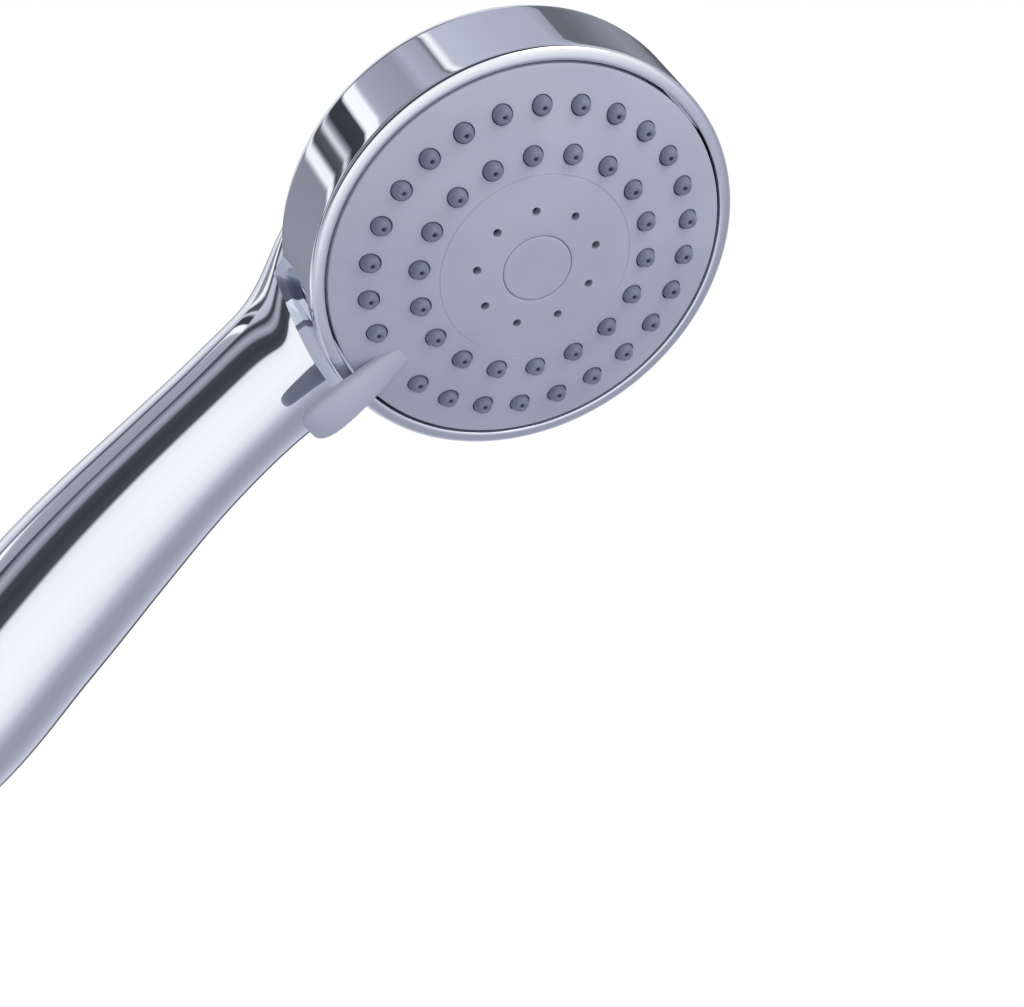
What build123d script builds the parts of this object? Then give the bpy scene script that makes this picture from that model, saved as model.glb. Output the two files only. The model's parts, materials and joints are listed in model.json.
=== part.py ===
from build123d import *
from math import cos, pi, radians, sin, sqrt, tan
import os

# Handheld shower head with a lever-turned spray face. Millimetres.
# The origin is the middle of the inlet thread's end face, +Z runs up the handle's
# lower end, and the spray face looks forward along -Y and a little down.
# Head heights h are measured along the head axis from the front rim plane, forward.

# ---- driving dimensions: head ---------------------------------------------
HEAD_TILT = 27.0  # the spray face looks this far below the horizontal
HEAD_R = 50.0  # drum wall outside
LIP_R = 48.5  # outer edge of the front lip
LIP_FALL = 1.4  # the lip slopes back by this much
CAVITY_R = 46.2  # bore of the drum
DRUM_DEPTH = 20.7  # front rim to back edge of the wall
EDGE_ROUND = 1.5  # rounding of the wall's back edge
BACK_DEPTH = 34.0  # front rim to the middle of the domed back
SHELL = 2.5  # thickness of the chromed shell
POLE_R = 0.6  # small flat in the middle of the domed surfaces
SEAT = -17.2  # ledge that carries the manifold
SEAT_INNER_R = 37.5

# ---- driving dimensions: handle -------------------------------------------
HANDLE_START = 14.0  # lower end of the shell above the thread's end face
STRAIGHT_END = 36.0
BEND_R = 340.0
BEND_LENGTH = 109.6
NECK_DROP = 60.0  # neck point below the head axis
NECK_BACK = 21.3  # neck point behind the rim plane
SADDLE_R = 52.7  # the handle's top is cut round the head axis at this radius
BRIDGE_HALF = 10.5  # the groove under the drum is shallower over the water way
BRIDGE_TOP = -16.0

# ---- driving dimensions: spray face ---------------------------------------
FACE_R = 45.7
FACE_RISE = 6.8
FACE_WALL = 2.2
FACE_SKIRT = -9.6
FACE_SKIRT_R = 43.9
WEB_R = 11.0
WEB_BACK = 1.4
WEB_FRONT = 3.2
OUTER_RING_R = 37.8
OUTER_PITCHES = 26  # one place is taken by the lever
INNER_RING_R = 27.1
INNER_NOZZLES = 18
MASSAGE_R = 14.2
MASSAGE_HOLES = 9
MASSAGE_HOLE_R = 1.0
NOZZLE_R = 2.2
NOZZLE_TIP_R = 1.45
NOZZLE_HEIGHT = 2.0
NOZZLE_BORE_R = 0.45
NOZZLE_HOLE_R = 2.25
MAT = 1.2  # silicone sheet behind the face
CAP_R = 7.95
CAP_HOLE_R = 8.0
CAP_WALL = 0.7
LEVER_ROOT = 34.5
LEVER_ROOT_HALF = 2.4
LEVER_WIDE = 54.0
LEVER_HALF = 4.8
LEVER_END = 57.8

# ---- driving dimensions: mode selector and its manifold -------------------
MODE_STEP = 24.0  # degrees between two spray modes
MODES = (-2, -1, 0, 1, 2)
DISC_R = 45.9
DISC_FRONT = -13.4
PLATE_R = 45.6
PLATE_BACK = -12.0
PLATE_FRONT = -9.6
HUB_R = 7.0
HUB_TOP = 1.1
SLEEVE_R = 8.4
SLEEVE_TOP = 1.2
RUNNING = 0.05  # radial clearance of turning fits
NECK_R = 5.0
NECK_TOP = 3.3
PORT_R = 31.0  # the water port's distance from the head axis
SEAL_R = 6.0
SEAL_POCKET_R = 6.05
SEAL_BACK = -15.5
SEAL_BORE_R = 3.6
POCKET_BACK = -21.5
SPRING_WIRE = 0.4
DETENT_R = 22.0
PIN_R = 2.0
PIN_POCKET_R = 2.05
PIN_BACK = -16.0
PIN_POCKET_BACK = -20.5
LIFT = 0.02  # pin and seal stand this far off the turning plate
STOP_IN = 11.5
STOP_OUT = 13.5
SCREW_RING_R = 41.2
SCREW_R = 1.5
SCREW_HEAD_R = 2.9
SCREW_HEAD_BACK = -14.7
SCREW_HEAD_TOP = -12.9
SCREW_END = -22.5
SCREW_ANGLES = (60, 180, 300)

# ---- driving dimensions: water way and inlet ------------------------------
THREAD_R = 10.4775  # G 1/2 major radius
THREAD_LENGTH = 12.0
INLET_BORE_R = 7.0
PLUG_R = 9.9
PLUG_HOLE_R = 9.95
PLUG_TOP = 32.0
TUBE_R = 6.6
TUBE_BORE_R = 3.2
TUBE_END_R = 4.9
SOCKET_R = 4.95
TUBE_LOW = 22.5
TUBE_SHOULDER = 32.5
TUBE_ROOM = 0.7  # room round the tube where it passes under the drum wall
TUBE_DROP = 50.0  # where the tube ends its bend, below the head axis
TUBE_HEIGHT = -24.5
TUBE_TOP_SHOULDER = 5.0  # along the tube, past the end of its bend
TUBE_TOP = 15.0
BLOCK_HALF = 8.0  # block on the manifold's back that takes the tube
BLOCK_DROP = 34.0  # its middle below the head axis
BLOCK_HEIGHT = 20.0
BLOCK_BACK = -33.0

# ---- frames ---------------------------------------------------------------
tilt = radians(HEAD_TILT)
head_up = Vector(0, -sin(tilt), cos(tilt))
head_out = Vector(0, -cos(tilt), -sin(tilt))
bend = BEND_LENGTH / BEND_R
neck = Vector(0, -BEND_R * (1 - cos(bend)), STRAIGHT_END + BEND_R * sin(bend))
head_centre = neck + head_up * NECK_DROP + head_out * NECK_BACK
HEAD_AXIS = Axis(head_centre, head_out)


def head_point(x=0.0, y=0.0, h=0.0):
    """A point given in the head frame: to the side, up the face, and forward."""
    return head_centre + Vector(x, 0, 0) + head_up * y + head_out * h


def head_plane(x=0.0, y=0.0, h=0.0):
    """A plane parallel to the spray face."""
    return Plane(origin=head_point(x, y, h), x_dir=(1, 0, 0), z_dir=head_out)


def head_section(x=0.0, y=0.0):
    """An upright plane for turned profiles: sketch x is the radius, sketch y is h."""
    return Plane(origin=head_point(x, y), x_dir=(1, 0, 0), z_dir=-head_up)


def head_side(x=0.0):
    """The middle plane seen from the side: sketch x runs down the face, sketch y is h."""
    return Plane(origin=head_point(x), x_dir=-head_up, z_dir=(-1, 0, 0))


def head_axis(x=0.0, y=0.0):
    return Axis(head_point(x, y), head_out)


def polar(radius, angle):
    """Sketch point at a distance from the head axis; 0 degrees points down the handle."""
    return (radius * sin(radians(angle)), -radius * cos(radians(angle)))


tube_end = head_point(0, -TUBE_DROP, TUBE_HEIGHT)
tube_lean = 2 * radians(Vector(0, 0, 1).get_angle(tube_end - Vector(0, 0, STRAIGHT_END)))
tube_up = Vector(0, -sin(tube_lean), cos(tube_lean))


def tube_plane(along=0.0):
    """Plane across the tube's upper end, at a distance past the end of its bend."""
    return Plane(origin=tube_end + tube_up * along, x_dir=(1, 0, 0), z_dir=tube_up)


def at_angles(radius, angles):
    """Places on a ring round the head axis, for a sketch on a head plane."""
    return Locations(*[polar(radius, angle) for angle in angles])


def save(piece, name):
    piece.label = name
    export_step(piece, f"parts/{name}.step")


os.makedirs("parts", exist_ok=True)

# ---- profiles -------------------------------------------------------------
FACE_SPHERE = (FACE_R**2 + FACE_RISE**2) / (2 * FACE_RISE)
BACK_RISE = BACK_DEPTH - DRUM_DEPTH - EDGE_ROUND
BACK_SPHERE = (HEAD_R**2 + BACK_RISE**2) / (2 * BACK_RISE)


def dome(radius, below=0.0):
    """Height of the domed face, or of a surface that lies below it."""
    return FACE_RISE - FACE_SPHERE + sqrt(FACE_SPHERE**2 - radius**2) - below


def back_dome(radius, inside=0.0):
    """Height of the head's domed back, or of the inner face of its wall."""
    return -BACK_DEPTH + BACK_SPHERE - sqrt(BACK_SPHERE**2 - radius**2) + inside


def arc_of(surface, r_from, r_to, offset):
    """Arc along a domed surface between two radii, inside a BuildLine."""
    middle = (r_from + r_to) / 2
    ThreePointArc(
        (r_from, surface(r_from, offset)),
        (middle, surface(middle, offset)),
        (r_to, surface(r_to, offset)),
    )


def turned_box(r_in, r_out, h_low, h_high):
    """Rectangle of a turned profile, inside a BuildSketch."""
    with Locations(((r_in + r_out) / 2, (h_low + h_high) / 2)):
        Rectangle(r_out - r_in, h_high - h_low)


def turned_outline(*points):
    """Straight-sided turned profile, inside a BuildSketch."""
    with BuildLine() as outline:
        Polyline(*points, close=True)
    make_face(outline.line.edges())


def turned_band(r_in, r_out, top_below, bottom_below):
    """Profile between two surfaces parallel to the domed face, inside a BuildSketch."""
    with BuildLine() as outline:
        arc_of(dome, r_in, r_out, top_below)
        Line((r_out, dome(r_out, top_below)), (r_out, dome(r_out, bottom_below)))
        arc_of(dome, r_out, r_in, bottom_below)
        Line((r_in, dome(r_in, bottom_below)), (r_in, dome(r_in, top_below)))
    make_face(outline.line.edges())


def ring(major, minor, plane):
    """An O-ring lying in a plane."""
    with BuildPart(plane) as oring:
        Torus(major, minor)
    return oring.part


def compression_spring(plane, radius, wire, length, pitch):
    """A helical wire standing on a plane."""
    coil = plane * Helix(pitch, length - 2 * wire, radius, center=(0, 0, wire))
    with BuildPart() as spring:
        with BuildSketch(Plane(origin=coil @ 0, z_dir=coil % 0)):
            Circle(wire)
        sweep(path=coil)
    return spring.part


# ---- chromed body shell ---------------------------------------------------
def handle_plane(length):
    """Plane across the handle at a length up its centre line from the thread's end."""
    angle = max(0.0, length - STRAIGHT_END) / BEND_R
    straight = min(length, STRAIGHT_END)
    origin = (0, -BEND_R * (1 - cos(angle)), straight + BEND_R * sin(angle))
    return Plane(origin=origin, x_dir=(1, 0, 0), z_dir=(0, -sin(angle), cos(angle)))


def across_head(drop, height):
    """Plane across the neck behind the drum, at a distance below the head axis."""
    return Plane(origin=head_point(0, -drop, height), x_dir=(1, 0, 0), z_dir=head_up)


# length up the centre line, half width, half thickness
HANDLE_SHAPE = (
    (HANDLE_START, 12.0, 12.0),
    (24.0, 15.0, 15.0),
    (36.0, 17.2, 17.2),
    (48.0, 17.9, 17.9),
    (60.0, 17.9, 17.8),
    (72.0, 17.8, 17.7),
    (84.0, 17.3, 17.2),
    (96.0, 16.6, 16.5),
    (108.0, 15.8, 15.7),
    (120.0, 15.3, 15.2),
    (130.0, 15.2, 15.0),
    (139.0, 15.5, 15.0),
)
# distance below the head axis, height of the middle, half width, half thickness
NECK_SHAPE = (
    (57.5, -21.2, 17.0, 15.2),
    (51.0, -21.8, 20.4, 15.6),
    (42.0, -24.0, 25.8, 13.6),
    (28.0, -25.2, 31.2, 11.8),
    (14.0, -25.3, 33.4, 10.3),
    (4.0, -25.2, 33.8, 9.15),
    (-6.0, -25.1, 33.0, 8.6),
    (-14.0, -25.0, 31.0, 7.9),
)
HANDLE_STEPS = 3  # sections between two rows of the handle's table
NECK_STEPS = 3


def filled_in(table, steps):
    """The table's rows with smooth rows between them, by cubic curves through the rows."""
    rows = []
    for k in range(len(table) - 1):
        before = table[max(k - 1, 0)]
        low, high = table[k], table[k + 1]
        after = table[min(k + 2, len(table) - 1)]
        span = high[0] - low[0]
        for step in range(steps):
            u = step / steps
            row = [low[0] + u * span]
            for c in range(1, len(low)):
                slope_low = (high[c] - before[c]) / (high[0] - before[0]) * span
                slope_high = (after[c] - low[c]) / (after[0] - low[0]) * span
                value = (2 * u**3 - 3 * u**2 + 1) * low[c] + (u**3 - 2 * u**2 + u) * slope_low
                value += (3 * u**2 - 2 * u**3) * high[c] + (u**3 - u**2) * slope_high
                row.append(value)
            rows.append(row)
    rows.append(list(table[-1]))
    return rows


with BuildPart() as handle_form:
    for length, half_width, half_depth in filled_in(HANDLE_SHAPE, HANDLE_STEPS):
        with BuildSketch(handle_plane(length)):
            Ellipse(half_width, half_depth)
    for drop, height, half_width, half_depth in filled_in(NECK_SHAPE, NECK_STEPS):
        with BuildSketch(across_head(drop, height)):
            Ellipse(half_width, half_depth)
    loft(ruled=True)

with BuildPart() as handle_hollow:
    for length, half_width, half_depth in HANDLE_SHAPE[1:]:
        with BuildSketch(handle_plane(length)):
            Circle(half_depth - SHELL)
    loft(ruled=True)


with BuildPart() as drum:
    with BuildSketch(head_section()):
        with BuildLine():
            Line((0, 0), (CAVITY_R, 0))
            Line((CAVITY_R, 0), (LIP_R, -LIP_FALL))
            RadiusArc((LIP_R, -LIP_FALL), (HEAD_R, -LIP_FALL - EDGE_ROUND), EDGE_ROUND)
            Line((HEAD_R, -LIP_FALL - EDGE_ROUND), (HEAD_R, -DRUM_DEPTH))
            RadiusArc(
                (HEAD_R, -DRUM_DEPTH),
                (HEAD_R - EDGE_ROUND, back_dome(HEAD_R - EDGE_ROUND)),
                2 * EDGE_ROUND,
            )
            arc_of(back_dome, HEAD_R - EDGE_ROUND, POLE_R, 0)
            Line((POLE_R, back_dome(POLE_R)), (0, back_dome(POLE_R)))
            Line((0, back_dome(POLE_R)), (0, 0))
        make_face()
    revolve(axis=HEAD_AXIS)

with BuildPart() as saddle:
    with BuildSketch(head_plane(h=-DRUM_DEPTH)):
        Circle(SADDLE_R)
    extrude(amount=DRUM_DEPTH * 2)
    with BuildSketch(head_plane(h=-DRUM_DEPTH)):
        with Locations((0, -SADDLE_R)):
            Rectangle(2 * BRIDGE_HALF, SADDLE_R)
    extrude(amount=DRUM_DEPTH + BRIDGE_TOP, mode=Mode.SUBTRACT)

with BuildPart() as body_shell:
    add(handle_form.part)
    add(saddle.part, mode=Mode.SUBTRACT)
    add(drum.part)
    add(handle_hollow.part, mode=Mode.SUBTRACT)
    # bore of the drum
    with BuildSketch(head_plane(h=SEAT)):
        Circle(CAVITY_R)
    extrude(amount=-SEAT + 2, mode=Mode.SUBTRACT)
    # hollow behind the manifold seat
    with BuildSketch(head_section()):
        with BuildLine():
            Line((0, SEAT), (SEAT_INNER_R, SEAT))
            Line((SEAT_INNER_R, SEAT), (SEAT_INNER_R, back_dome(SEAT_INNER_R, SHELL)))
            arc_of(back_dome, SEAT_INNER_R, POLE_R, SHELL)
            Line((POLE_R, back_dome(POLE_R, SHELL)), (0, back_dome(POLE_R, SHELL)))
            Line((0, back_dome(POLE_R, SHELL)), (0, SEAT))
        make_face()
    revolve(axis=HEAD_AXIS, mode=Mode.SUBTRACT)
    # notch for the manifold's tube block, and the tube's way under the drum wall
    with BuildSketch(head_plane(h=BLOCK_BACK - 0.3)):
        with Locations((0, -BLOCK_DROP)):
            Rectangle(2 * BLOCK_HALF + 1.2, BLOCK_HEIGHT + 1.2)
    extrude(amount=SEAT - BLOCK_BACK + 0.3, mode=Mode.SUBTRACT)
    with BuildSketch(tube_plane(-22)):
        Circle(TUBE_R + TUBE_ROOM)
    extrude(amount=28, mode=Mode.SUBTRACT)
    # pilot holes of the manifold screws
    with BuildSketch(head_plane(h=SCREW_END - 0.5)):
        with at_angles(SCREW_RING_R, SCREW_ANGLES):
            Circle(SCREW_R)
    extrude(amount=SEAT - SCREW_END + 0.5, mode=Mode.SUBTRACT)
    # bore for the inlet plug
    with BuildSketch(Plane.XY.offset(HANDLE_START)):
        Circle(PLUG_HOLE_R)
    extrude(amount=PLUG_TOP - HANDLE_START, mode=Mode.SUBTRACT)
save(body_shell.part, "body_shell")

# ---- inlet ----------------------------------------------------------------
PLUG_ORINGS = (23.5, 28.5)
REGULATOR_LOW = 11.0
REGULATOR_TOP = 16.9
INLET_BORE_TOP = 17.0
SOCKET_FLOOR = 22.4


def upright_outline(*points):
    """Turned profile about Z, drawn on the XZ plane inside a BuildSketch."""
    with BuildLine() as outline:
        Polyline(*points, close=True)
    make_face(outline.line.edges())


with BuildPart() as inlet_nipple:
    with BuildSketch(Plane.XZ):
        upright_outline(
            (INLET_BORE_R, 0),
            (THREAD_R, 0),
            (THREAD_R, THREAD_LENGTH),
            (9.4, THREAD_LENGTH),
            (9.4, 12.8),
            (11.4, 12.8),
            (11.4, HANDLE_START),
            (PLUG_R, HANDLE_START),
            (PLUG_R, PLUG_TOP),
            (SOCKET_R, PLUG_TOP),
            (SOCKET_R, SOCKET_FLOOR),
            (TUBE_BORE_R, SOCKET_FLOOR),
            (TUBE_BORE_R, INLET_BORE_TOP),
            (INLET_BORE_R, INLET_BORE_TOP),
        )
    revolve(axis=Axis.Z)
    with BuildSketch(Plane.XZ):
        for height in PLUG_ORINGS:
            turned_box(8.9, PLUG_R + 1, height - 0.7, height + 0.7)
    revolve(axis=Axis.Z, mode=Mode.SUBTRACT)
save(inlet_nipple.part, "inlet_nipple")

with BuildPart() as nipple_orings:
    for height in PLUG_ORINGS:
        add(ring(9.42, 0.5, Plane.XY.offset(height)))
save(nipple_orings.part, "nipple_orings")

with BuildPart() as flow_regulator:
    with BuildSketch(Plane.XY.offset(REGULATOR_LOW)):
        Circle(6.9)
    extrude(amount=REGULATOR_TOP - REGULATOR_LOW)
    with BuildSketch(Plane.XY.offset(REGULATOR_LOW)):
        with PolarLocations(3.9, 6):
            Circle(1.0)
    extrude(amount=REGULATOR_TOP - REGULATOR_LOW, mode=Mode.SUBTRACT)
    with BuildSketch(Plane.XZ):
        turned_box(6.1, 8, 13.4, 14.6)
    revolve(axis=Axis.Z, mode=Mode.SUBTRACT)
save(flow_regulator.part, "flow_regulator")

save(ring(6.55, 0.42, Plane.XY.offset(14)), "regulator_oring")

with BuildPart() as filter_screen:
    with BuildSketch(Plane.XZ):
        upright_outline((5.6, 8.6), (6.9, 8.6), (6.9, 10.9), (0, 10.9), (0, 10.2), (5.6, 10.2))
    revolve(axis=Axis.Z)
    with BuildSketch(Plane.XY.offset(10)):
        with GridLocations(1.5, 1.5, 5, 5):
            Rectangle(0.9, 0.9)
    extrude(amount=1.5, mode=Mode.SUBTRACT)
save(filter_screen.part, "filter_screen")

# ---- water tube -----------------------------------------------------------
TUBE_LOW_ORING = 26.5
TUBE_TOP_ORING = 10.5


def tube_path(low, top):
    """Centre line of the water tube between a height and a distance past its bend."""
    with BuildLine() as path:
        Line((0, 0, low), (0, 0, STRAIGHT_END))
        TangentArc((0, 0, STRAIGHT_END), tube_end, tangent=(0, 0, 1))
        Line(tube_end, tube_end + tube_up * top)
    return path.line


def swept_rod(low, top, radius):
    with BuildPart() as rod:
        with BuildSketch(Plane.XY.offset(low)):
            Circle(radius)
        sweep(path=tube_path(low, top))
    return rod.part


with BuildPart() as waterway_tube:
    add(swept_rod(TUBE_LOW, TUBE_TOP, TUBE_END_R))
    add(swept_rod(TUBE_SHOULDER, TUBE_TOP_SHOULDER, TUBE_R))
    add(swept_rod(TUBE_LOW, TUBE_TOP, TUBE_BORE_R), mode=Mode.SUBTRACT)
    with BuildSketch(Plane.XY.offset(TUBE_LOW_ORING - 0.5)):
        Circle(TUBE_END_R + 0.5)
        Circle(4.18, mode=Mode.SUBTRACT)
    extrude(amount=1.0, mode=Mode.SUBTRACT)
    with BuildSketch(tube_plane(TUBE_TOP_ORING - 0.5)):
        Circle(TUBE_END_R + 0.5)
        Circle(4.18, mode=Mode.SUBTRACT)
    extrude(amount=1.0, mode=Mode.SUBTRACT)
save(waterway_tube.part, "waterway_tube")

with BuildPart() as tube_orings:
    add(ring(4.56, 0.36, Plane.XY.offset(TUBE_LOW_ORING)))
    add(ring(4.56, 0.36, tube_plane(TUBE_TOP_ORING)))
save(tube_orings.part, "tube_orings")

# ---- manifold -------------------------------------------------------------
STOP_RIB_HALF = 20.0
STOP_LUG_HALF = 7.5
STOP_SLACK = 0.5
STOP_ANGLE = STOP_RIB_HALF + STOP_LUG_HALF + STOP_SLACK + MODE_STEP * MODES[-1]
GAP = DISC_FRONT - PLATE_BACK


def sector(r_in, r_out, middle, half):
    """Ring sector about the head axis, inside a BuildSketch on a head plane."""
    start = middle - half - 90
    with BuildLine() as outline:
        CenterArc((0, 0), r_out, start, 2 * half)
        CenterArc((0, 0), r_in, start, 2 * half)
        Line(polar(r_in, middle - half), polar(r_out, middle - half))
        Line(polar(r_in, middle + half), polar(r_out, middle + half))
    make_face(outline.line.edges())


with BuildPart() as manifold:
    with BuildSketch(head_plane(h=SEAT)):
        Circle(DISC_R)
    extrude(amount=DISC_FRONT - SEAT)
    # hub that the face turns on, with the narrower neck for its washer and screw
    with BuildSketch(head_plane(h=SEAT - 3)):
        Circle(HUB_R)
    extrude(amount=HUB_TOP - SEAT + 3)
    with BuildSketch(head_plane(h=HUB_TOP)):
        Circle(NECK_R)
    extrude(amount=NECK_TOP - HUB_TOP)
    # block that takes the tube, boss of the port, boss of the detent
    with BuildSketch(head_plane(h=BLOCK_BACK)):
        with Locations((0, -BLOCK_DROP)):
            RectangleRounded(2 * BLOCK_HALF, BLOCK_HEIGHT, 2.5)
    extrude(amount=SEAT - BLOCK_BACK)
    with BuildSketch(head_plane(h=POCKET_BACK - 1.8)):
        with at_angles(PORT_R, (0,)):
            Circle(SEAL_POCKET_R + 2)
    extrude(amount=SEAT - POCKET_BACK + 1.8)
    with BuildSketch(head_plane(h=PIN_POCKET_BACK - 1.5)):
        with at_angles(DETENT_R, (180,)):
            Circle(PIN_POCKET_R + 1.6)
    extrude(amount=SEAT - PIN_POCKET_BACK + 1.5)
    # stops of the selector
    with BuildSketch(head_plane(h=DISC_FRONT)):
        sector(STOP_IN, STOP_OUT, 90 - STOP_ANGLE, STOP_LUG_HALF)
        sector(STOP_IN, STOP_OUT, 90 + STOP_ANGLE, STOP_LUG_HALF)
    extrude(amount=-GAP - 0.2)
    # pockets of the port seal and of the detent pin
    with BuildSketch(head_plane(h=POCKET_BACK)):
        with at_angles(PORT_R, (0,)):
            Circle(SEAL_POCKET_R)
    extrude(amount=DISC_FRONT - POCKET_BACK, mode=Mode.SUBTRACT)
    with BuildSketch(head_plane(h=PIN_POCKET_BACK)):
        with at_angles(DETENT_R, (180,)):
            Circle(PIN_POCKET_R)
    extrude(amount=DISC_FRONT - PIN_POCKET_BACK, mode=Mode.SUBTRACT)
    # water way from the tube's socket to the port
    with BuildSketch(tube_plane(0)):
        Circle(SOCKET_R)
    extrude(amount=TUBE_TOP + 0.1, mode=Mode.SUBTRACT)
    with BuildSketch(tube_plane(TUBE_TOP)):
        Circle(TUBE_BORE_R)
    extrude(amount=4.5, mode=Mode.SUBTRACT)
    with BuildSketch(head_plane(h=-28.5)):
        with at_angles(PORT_R, (0,)):
            Circle(TUBE_BORE_R)
    extrude(amount=POCKET_BACK + 28.5, mode=Mode.SUBTRACT)
    # grooves of the rim O-ring and the hub O-ring
    with BuildSketch(head_section()):
        turned_box(44.5, DISC_R + 1, -16.2, -14.4)
        turned_box(5.8, HUB_R + 0.02, -11.4, -9.8)
    revolve(axis=HEAD_AXIS, mode=Mode.SUBTRACT)
    # screws
    with BuildSketch(head_plane(h=SEAT)):
        with at_angles(SCREW_RING_R, SCREW_ANGLES):
            Circle(SCREW_R + 0.1)
    extrude(amount=DISC_FRONT - SEAT, mode=Mode.SUBTRACT)
    with BuildSketch(head_plane(h=SCREW_HEAD_BACK)):
        with at_angles(SCREW_RING_R, SCREW_ANGLES):
            Circle(SCREW_HEAD_R + 0.1)
    extrude(amount=DISC_FRONT - SCREW_HEAD_BACK, mode=Mode.SUBTRACT)
    with BuildSketch(head_plane(h=-9)):
        Circle(2.0)
    extrude(amount=NECK_TOP + 9, mode=Mode.SUBTRACT)
save(manifold.part, "manifold")


def pan_screw(place, shank_r, shank_end, head_r, head_back, head_top):
    """Screw along the head axis with a domed head and a cross recess."""
    x, y = place
    with BuildPart() as screw:
        with BuildSketch(head_plane(x, y, shank_end)):
            Circle(shank_r)
        extrude(amount=head_back - shank_end)
        with BuildSketch(head_plane(x, y, head_back)):
            Circle(head_r)
        extrude(amount=head_top - head_back)
        fillet(screw.edges().filter_by(GeomType.CIRCLE).sort_by(head_axis(x, y))[-1], 0.5)
        with BuildSketch(head_plane(x, y, head_top - 0.9)):
            Rectangle(head_r, 0.7)
            Rectangle(0.7, head_r)
        extrude(amount=1, mode=Mode.SUBTRACT)
    return screw.part


with BuildPart() as manifold_screws:
    for angle in SCREW_ANGLES:
        add(
            pan_screw(
                polar(SCREW_RING_R, angle),
                SCREW_R,
                SCREW_END,
                SCREW_HEAD_R,
                SCREW_HEAD_BACK,
                SCREW_HEAD_TOP,
            )
        )
save(manifold_screws.part, "manifold_screws")

save(ring(45.35, 0.8, head_plane(h=-15.3)), "manifold_oring")
save(ring(6.44, 0.59, head_plane(h=-10.6)), "hub_oring")

# ---- port seal and detent -------------------------------------------------
with BuildPart() as port_seal:
    with BuildSketch(head_plane(h=SEAL_BACK)):
        with at_angles(PORT_R, (0,)):
            Circle(SEAL_R)
            Circle(SEAL_BORE_R, mode=Mode.SUBTRACT)
    extrude(amount=PLATE_BACK - LIFT - SEAL_BACK)
save(port_seal.part, "port_seal")

save(
    compression_spring(
        head_plane(0, -PORT_R, POCKET_BACK), 4.9, 0.4, SEAL_BACK - POCKET_BACK, 1.7
    ),
    "port_seal_spring",
)

with BuildPart() as detent_pin:
    with BuildSketch(head_plane(h=PIN_BACK)):
        with at_angles(DETENT_R, (180,)):
            Circle(PIN_R)
    extrude(amount=PLATE_BACK - LIFT - PIN_BACK)
    fillet(detent_pin.edges().filter_by(GeomType.CIRCLE).sort_by(HEAD_AXIS)[-1], 1.2)
save(detent_pin.part, "detent_pin")

save(
    compression_spring(
        head_plane(0, DETENT_R, PIN_POCKET_BACK), 1.45, 0.25, PIN_BACK - PIN_POCKET_BACK, 1.1
    ),
    "detent_spring",
)

# ---- turning face: chamber plate ------------------------------------------
ZONE_RIBS = ((30.5, 31.7, 1.0), (19.0, 20.6, 3.1))  # inner radius, outer radius, top
FEED_R = 1.2
OUTER_FEED = 33.3
INNER_FEED = 28.9
FEEDS = {-2: (OUTER_FEED,), -1: (INNER_FEED,), 0: (OUTER_FEED, INNER_FEED)}
DUCT_MODES = (1, 2)

with BuildPart() as chamber_plate:
    with BuildSketch(head_section()):
        turned_box(HUB_R + RUNNING, PLATE_R, PLATE_BACK, PLATE_FRONT)
        turned_box(HUB_R + RUNNING, FACE_SKIRT_R - 0.05, PLATE_FRONT, PLATE_FRONT + 1)
        turned_box(HUB_R + RUNNING, SLEEVE_R, PLATE_FRONT, SLEEVE_TOP)
        turned_box(18.2, 19.5, PLATE_FRONT, -6.5)
        for r_in, r_out, top in ZONE_RIBS:
            turned_box(r_in, r_out, PLATE_FRONT, top)
    revolve(axis=HEAD_AXIS)
    # rib that meets the stops
    with BuildSketch(head_plane(h=PLATE_BACK)):
        sector(STOP_IN, STOP_OUT, 90, STOP_RIB_HALF)
    extrude(amount=GAP + 0.2)
    # feed holes of the ring zones
    for mode, radii in FEEDS.items():
        for radius in radii:
            with BuildSketch(head_plane(h=PLATE_BACK)):
                with at_angles(radius, (mode * MODE_STEP,)):
                    Circle(FEED_R)
            extrude(amount=4, mode=Mode.SUBTRACT)
    # ducts that lead water to the middle zone
    for mode in DUCT_MODES:
        side = head_plane(h=PLATE_FRONT + 1).rotated((0, 0, mode * MODE_STEP))
        with BuildSketch(side):
            with Locations((0, -24.75)):
                Rectangle(5, 12.5)
        extrude(amount=1.7)
        with BuildSketch(side.offset(-0.6)):
            with Locations((0, -24.0)):
                Rectangle(3, 12.5)
        extrude(amount=1.8, mode=Mode.SUBTRACT)
        with BuildSketch(head_plane(h=PLATE_BACK)):
            with at_angles(INNER_FEED, (mode * MODE_STEP,)):
                Circle(FEED_R)
        extrude(amount=3, mode=Mode.SUBTRACT)
    # shallow dimples of the detent
    with BuildSketch(head_plane(h=PLATE_BACK)):
        with at_angles(DETENT_R, [180 + mode * MODE_STEP for mode in MODES]):
            Circle(1.1)
    extrude(amount=0.5, mode=Mode.SUBTRACT)
save(chamber_plate.part, "chamber_plate")

# ---- turning face: faceplate with its lever --------------------------------
outer_angles = [k * 360 / OUTER_PITCHES for k in range(1, OUTER_PITCHES)]
inner_angles = [k * 360 / INNER_NOZZLES for k in range(INNER_NOZZLES)]
massage_angles = [k * 360 / MASSAGE_HOLES for k in range(MASSAGE_HOLES)]

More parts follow.
